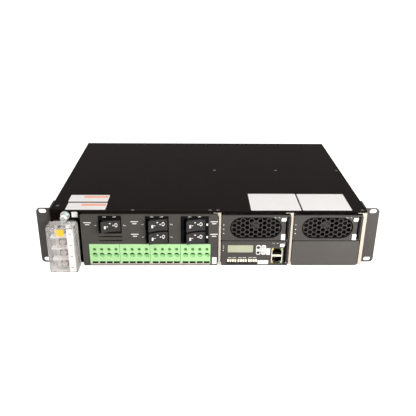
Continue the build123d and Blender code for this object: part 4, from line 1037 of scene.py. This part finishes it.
@dataclass
class RectifierMarks:
    """Lights, bare plates and the painted shade round the grille on the front of one rectifier.

    Args:
        number: Number of the rectifier from the left.
        light: Width and height of a light.
        light_heights: Heights of the lights above the module's foot.
        light_inset: How far they stand from its left edge.
        plate: Middle from the right edge, middle height, width and height of the plate.
        oval: Width and height of the sunk oval round the grille.
        rim: Width and depth of the dark ring painted as shade inside the oval.
        rim_shadow_thickness: Thickness of that ring.
        hub_radius: Radius of the bare label on the fan's hub.
    """

    number: int
    light: tuple[float, float] = (1.7, 1.4)
    light_heights: tuple[float, ...] = (11.2, 17.6, 24.6)
    light_inset: float = 2.8
    plate: tuple[float, float, float, float] = (8.8, 5.4, 5.8, 9.4)
    oval: tuple[float, float] = (72.6, 32.6)
    rim: tuple[float, float] = (1.8, 1.15)
    rim_shadow_thickness: float = 0.2
    hub_radius: float = 6.4

    def build(self, finishes: Finishes) -> None:
        """Builds the lights, the plate, the painted shade round the grille, the lock marks and the label on
        the hub.

        Args:
            finishes: The finishes.
        """
        body = f"rectifier_{self.number}"
        low, high = node_span(body + "_front")
        lights = bmesh.new()
        for height in self.light_heights:
            add_patch(lights, rounded(*self.light, 0.4),
                      on_front(low.x + self.light_inset, low.z + height), 0.12)
        mesh_piece(body + "_lights", lights, finishes.get(PALE_PIPE), body)
        inset, height, width, rise = self.plate
        plate = bmesh.new()
        add_patch(plate, rounded(width, rise, 0.4), on_front(high.x - inset, low.z + height))
        mesh_piece(body + "_plate", plate, finishes.get(PAPER), body)
        self.build_rim_shadow((low + high) / 2, body, finishes)
        LockMarks(body).build(finishes)
        hub_low, hub_high = node_span(body + "_fan_rotor")
        hub = (hub_low + hub_high) / 2
        label = bmesh.new()
        add_patch(label, disc(self.hub_radius, 6), on_front(hub.x, hub.z, hub_low.y))
        mesh_piece(body + "_hub_label", label, finishes.get(HUB_LABEL), body + "_fan")

    def build_rim_shadow(self, middle: Vector, body: str, finishes: Finishes) -> None:
        """Builds the dark ring painted as the shade in the step round the grille.

        Args:
            middle: Middle of the rectifier's front.
            body: The rectifier's body.
            finishes: The finishes.
        """
        width, height = self.oval
        line, depth = self.rim
        outer = rounded(width, height, height / 2, 8)
        inner = rounded(width - 2 * line, height - 2 * line, height / 2 - line, 8)
        place = on_front(middle.x, middle.z, FRONT_Y + depth)
        # A black ring painted as the shade of the step round the grille.
        rim_shadow = bmesh.new()
        for index, corner in enumerate(outer):
            following = (index + 1) % len(outer)
            if corner != outer[following]:
                add_patch(rim_shadow, [corner, outer[following], inner[following], inner[index]], place,
                          self.rim_shadow_thickness, 0.0)
        mesh_piece(body + "_grille_rim_shadow", rim_shadow, finishes.get(BLACK_ABS), body)


@dataclass
class MonitorMarks:
    """Lights, key surrounds, plates and plain legend of the monitoring module.

    Args:
        light: Width and height of a light.
        light_inset: How far the lights stand from the left edge.
        light_heights: Their heights above the module's foot.
        capsule: Width, height and corner of a key surround.
        plates: Middle across from the module's middle, height, width and height of each plate.
        legend_groups: Groups of plain lines over the alarm terminals.
        legend_shares: Where the middle of each line stands in its group.
        legend_length: Length of a line as a share of its group.
        legend_stroke: Width of a line.
        legend_rise: How far the lines stand over the terminals.
    """

    light: tuple[float, float] = (1.6, 1.3)
    light_inset: float = 3.0
    light_heights: tuple[float, ...] = (24.2, 28.4, 31.6)
    capsule: tuple[float, float, float] = (6.6, 15.6, 2.6)
    plates: tuple[tuple[float, float, float, float], ...] = ((19.4, 22.6, 5.6, 10.6), (12.6, 5.2, 15.2, 6.4))
    legend_groups: int = 3
    legend_shares: tuple[float, ...] = (0.28, 0.72)
    legend_length: float = 0.34
    legend_stroke: float = 0.7
    legend_rise: float = 2.0

    def build(self, finishes: Finishes) -> None:
        """Builds every mark of the module.

        Args:
            finishes: The finishes.
        """
        low, high = node_span("monitor_front")
        middle = (low.x + high.x) / 2
        lights = bmesh.new()
        for height in self.light_heights:
            add_patch(lights, rounded(*self.light, 0.4),
                      on_front(low.x + self.light_inset, low.z + height), 0.12)
        mesh_piece("monitor_lights", lights, finishes.get(PALE_PIPE), "monitor")
        self.build_capsules(finishes)
        plates = bmesh.new()
        for x, z, width, height in self.plates:
            add_patch(plates, rounded(width, height, 0.4), on_front(middle + x, low.z + z))
        mesh_piece("monitor_plates", plates, finishes.get(PAPER), "monitor")
        SocketDetail().build(finishes)
        self.build_legend(finishes)
        LockMarks("monitor").build(finishes)

    def build_capsules(self, finishes: Finishes) -> None:
        """Builds the pale surround of each pair of keys.

        Args:
            finishes: The finishes.
        """
        width, height, corner = self.capsule
        capsules = bmesh.new()
        for lower, upper in (("monitor_key_down", "monitor_key_up"),
                             ("monitor_key_enter", "monitor_key_escape")):
            middle = (node_span(lower)[0] + node_span(upper)[1]) / 2
            add_patch(capsules, rounded(width, height, corner, 6), on_front(middle.x, middle.z), 0.08)
        mesh_piece("key_surrounds", capsules, finishes.get(PAPER), "monitor")

    def build_legend(self, finishes: Finishes) -> None:
        """Builds the plain lines over the alarm terminals.

        Args:
            finishes: The finishes.
        """
        low, high = node_span("alarm_terminals")
        group = (high.x - low.x) / self.legend_groups
        legend = bmesh.new()
        for index in range(self.legend_groups):
            for share in self.legend_shares:
                add_patch(legend, rounded(group * self.legend_length, self.legend_stroke, 0.2),
                          on_front(low.x + group * (index + share), high.z + self.legend_rise))
        mesh_piece("alarm_legend", legend, finishes.get(WHITE_INK), "monitor")


@dataclass
class SocketDetail:
    """Contacts, lights and black surfaces of the two network sockets.

    Args:
        contact: Width and height of a contact.
        contact_count: Contacts in a socket.
        contact_pitch: Distance from contact to contact.
        contact_reach: How far the contacts stand from the middle of the housing.
        contact_span: Depth of a contact's front and of its back in the socket.
        cavity_width: Width of a socket's mouth.
        bar: Height of the rim between the two sockets.
        notch: Width and height of the notch over a mouth.
        rim: Height of the rim past a notch.
        mouth: Width of the black surface round a notch.
        cheek: Width of the black edge at each side of a mouth.
        bezel: How far the front's plastic laps over each side of the rim.
        light: Width and height of a socket's light.
        light_margin: Room between a light and the edge of the housing.
    """

    contact: tuple[float, float] = (0.5, 1.0)
    contact_count: int = 8
    contact_pitch: float = 1.02
    contact_reach: float = 3.3
    contact_span: tuple[float, float] = (2.5, 11.5)
    cavity_width: float = 12.4
    bar: float = 3.4
    notch: tuple[float, float] = (5.6, 1.8)
    rim: float = 1.4
    mouth: float = 10.0
    cheek: float = 0.5
    bezel: float = 1.2
    light: tuple[float, float] = (3.0, 2.6)
    light_margin: float = 0.1

    def build(self, finishes: Finishes) -> None:
        """Builds the contacts, the black surfaces and the lights.

        Args:
            finishes: The finishes.
        """
        low, high = node_span("network_ports")
        middle = (low + high) / 2
        front, back = self.contact_span
        contacts = bmesh.new()
        lights = {AMBER_PIPE: bmesh.new(), LIGHT_PIPE: bmesh.new()}
        for side in (-1, 1):
            for index in range(self.contact_count):
                x = middle.x + self.contact_pitch * (index - (self.contact_count - 1) / 2)
                add_patch(contacts, rounded(*self.contact, 0.1),
                          on_front(x, middle.z + side * self.contact_reach, low.y), -front, -back)
            z = middle.z + side * ((high.z - low.z - self.light[1]) / 2 - self.light_margin)
            for right, finish in ((-1, AMBER_PIPE), (1, LIGHT_PIPE)):
                place = on_front(middle.x + right * (self.mouth + self.light[0]) / 2, z, low.y)
                add_patch(lights[finish], rounded(*self.light, 0.3), place, 0.05)
        mesh_piece("socket_contacts", contacts, finishes.get(GOLD), "monitor")
        self.build_mouths(low, high, finishes)
        for finish, build in lights.items():
            mesh_piece("socket_" + finish.name, build, finishes.get(finish), "monitor")

    def build_mouths(self, low: Vector, high: Vector, finishes: Finishes) -> None:
        """Builds the black surface round the mouths and the front's lip over their rim.

        Args:
            low: Lowest corner of the sockets' housing.
            high: Its highest corner.
            finishes: The finishes.
        """
        middle = (low + high) / 2
        width, height = high.x - low.x, high.z - low.z
        notch_width, notch_height = self.notch
        shoulder = (self.mouth - notch_width) / 2
        cavity_height = (height - self.bar) / 2 - notch_height - self.rim
        black, lips = bmesh.new(), bmesh.new()
        for side in (-1, 1):
            edge = high.z if side > 0 else low.z
            notch_z = edge - side * (self.rim + notch_height / 2)
            cavity_z = edge - side * (self.rim + notch_height + cavity_height / 2)
            add_patch(black, rounded(self.mouth, self.rim, 0.1),
                      on_front(middle.x, edge - side * self.rim / 2, low.y))
            add_patch(lips, rounded(self.bezel, height, 0.2),
                      on_front(middle.x + side * (width - self.bezel) / 2, middle.z, low.y))
            for right in (-1, 1):
                add_patch(black, rounded(shoulder, notch_height, 0.1),
                          on_front(middle.x + right * (notch_width + shoulder) / 2, notch_z, low.y))
                add_patch(black, rounded(self.cheek, cavity_height, 0.1),
                          on_front(middle.x + right * (self.cavity_width + self.cheek) / 2, cavity_z, low.y))
        mesh_piece("socket_mouths", black, finishes.get(BLACK_ABS), "monitor")
        mesh_piece("socket_side_lips", lips, finishes.get(FRONT_ABS), "monitor")


def dress_nodes(finishes: Finishes) -> None:
    """Gives each node of the frame its finish.

    Args:
        finishes: The finishes.
    """
    for name, node in frame["nodes"].items():
        finish = node_finish(name)
        for slot in node.material_slots:
            slot.material = finishes.get(finish)
        LOG.info("%s: %s", name, finish.name)


def main() -> None:
    """Builds the studio, the finishes and every small piece."""
    logging.basicConfig(level=logging.INFO, format="%(message)s")
    finishes = Finishes()
    Studio().build()
    dress_nodes(finishes)
    LidLabels().build(finishes)
    PanelMarks().build(finishes)
    for breaker in LEFT_BREAKERS + RIGHT_BREAKERS:
        Rocker(breaker).build(finishes)
    for number in (1, 2, 3, 4):
        PlugDetail(number).build(finishes)
    CoverPlates().build(finishes)
    for number in (1, 2):
        RectifierMarks(number).build(finishes)
    MonitorMarks().build(finishes)


if __name__ == "__main__":
    main()
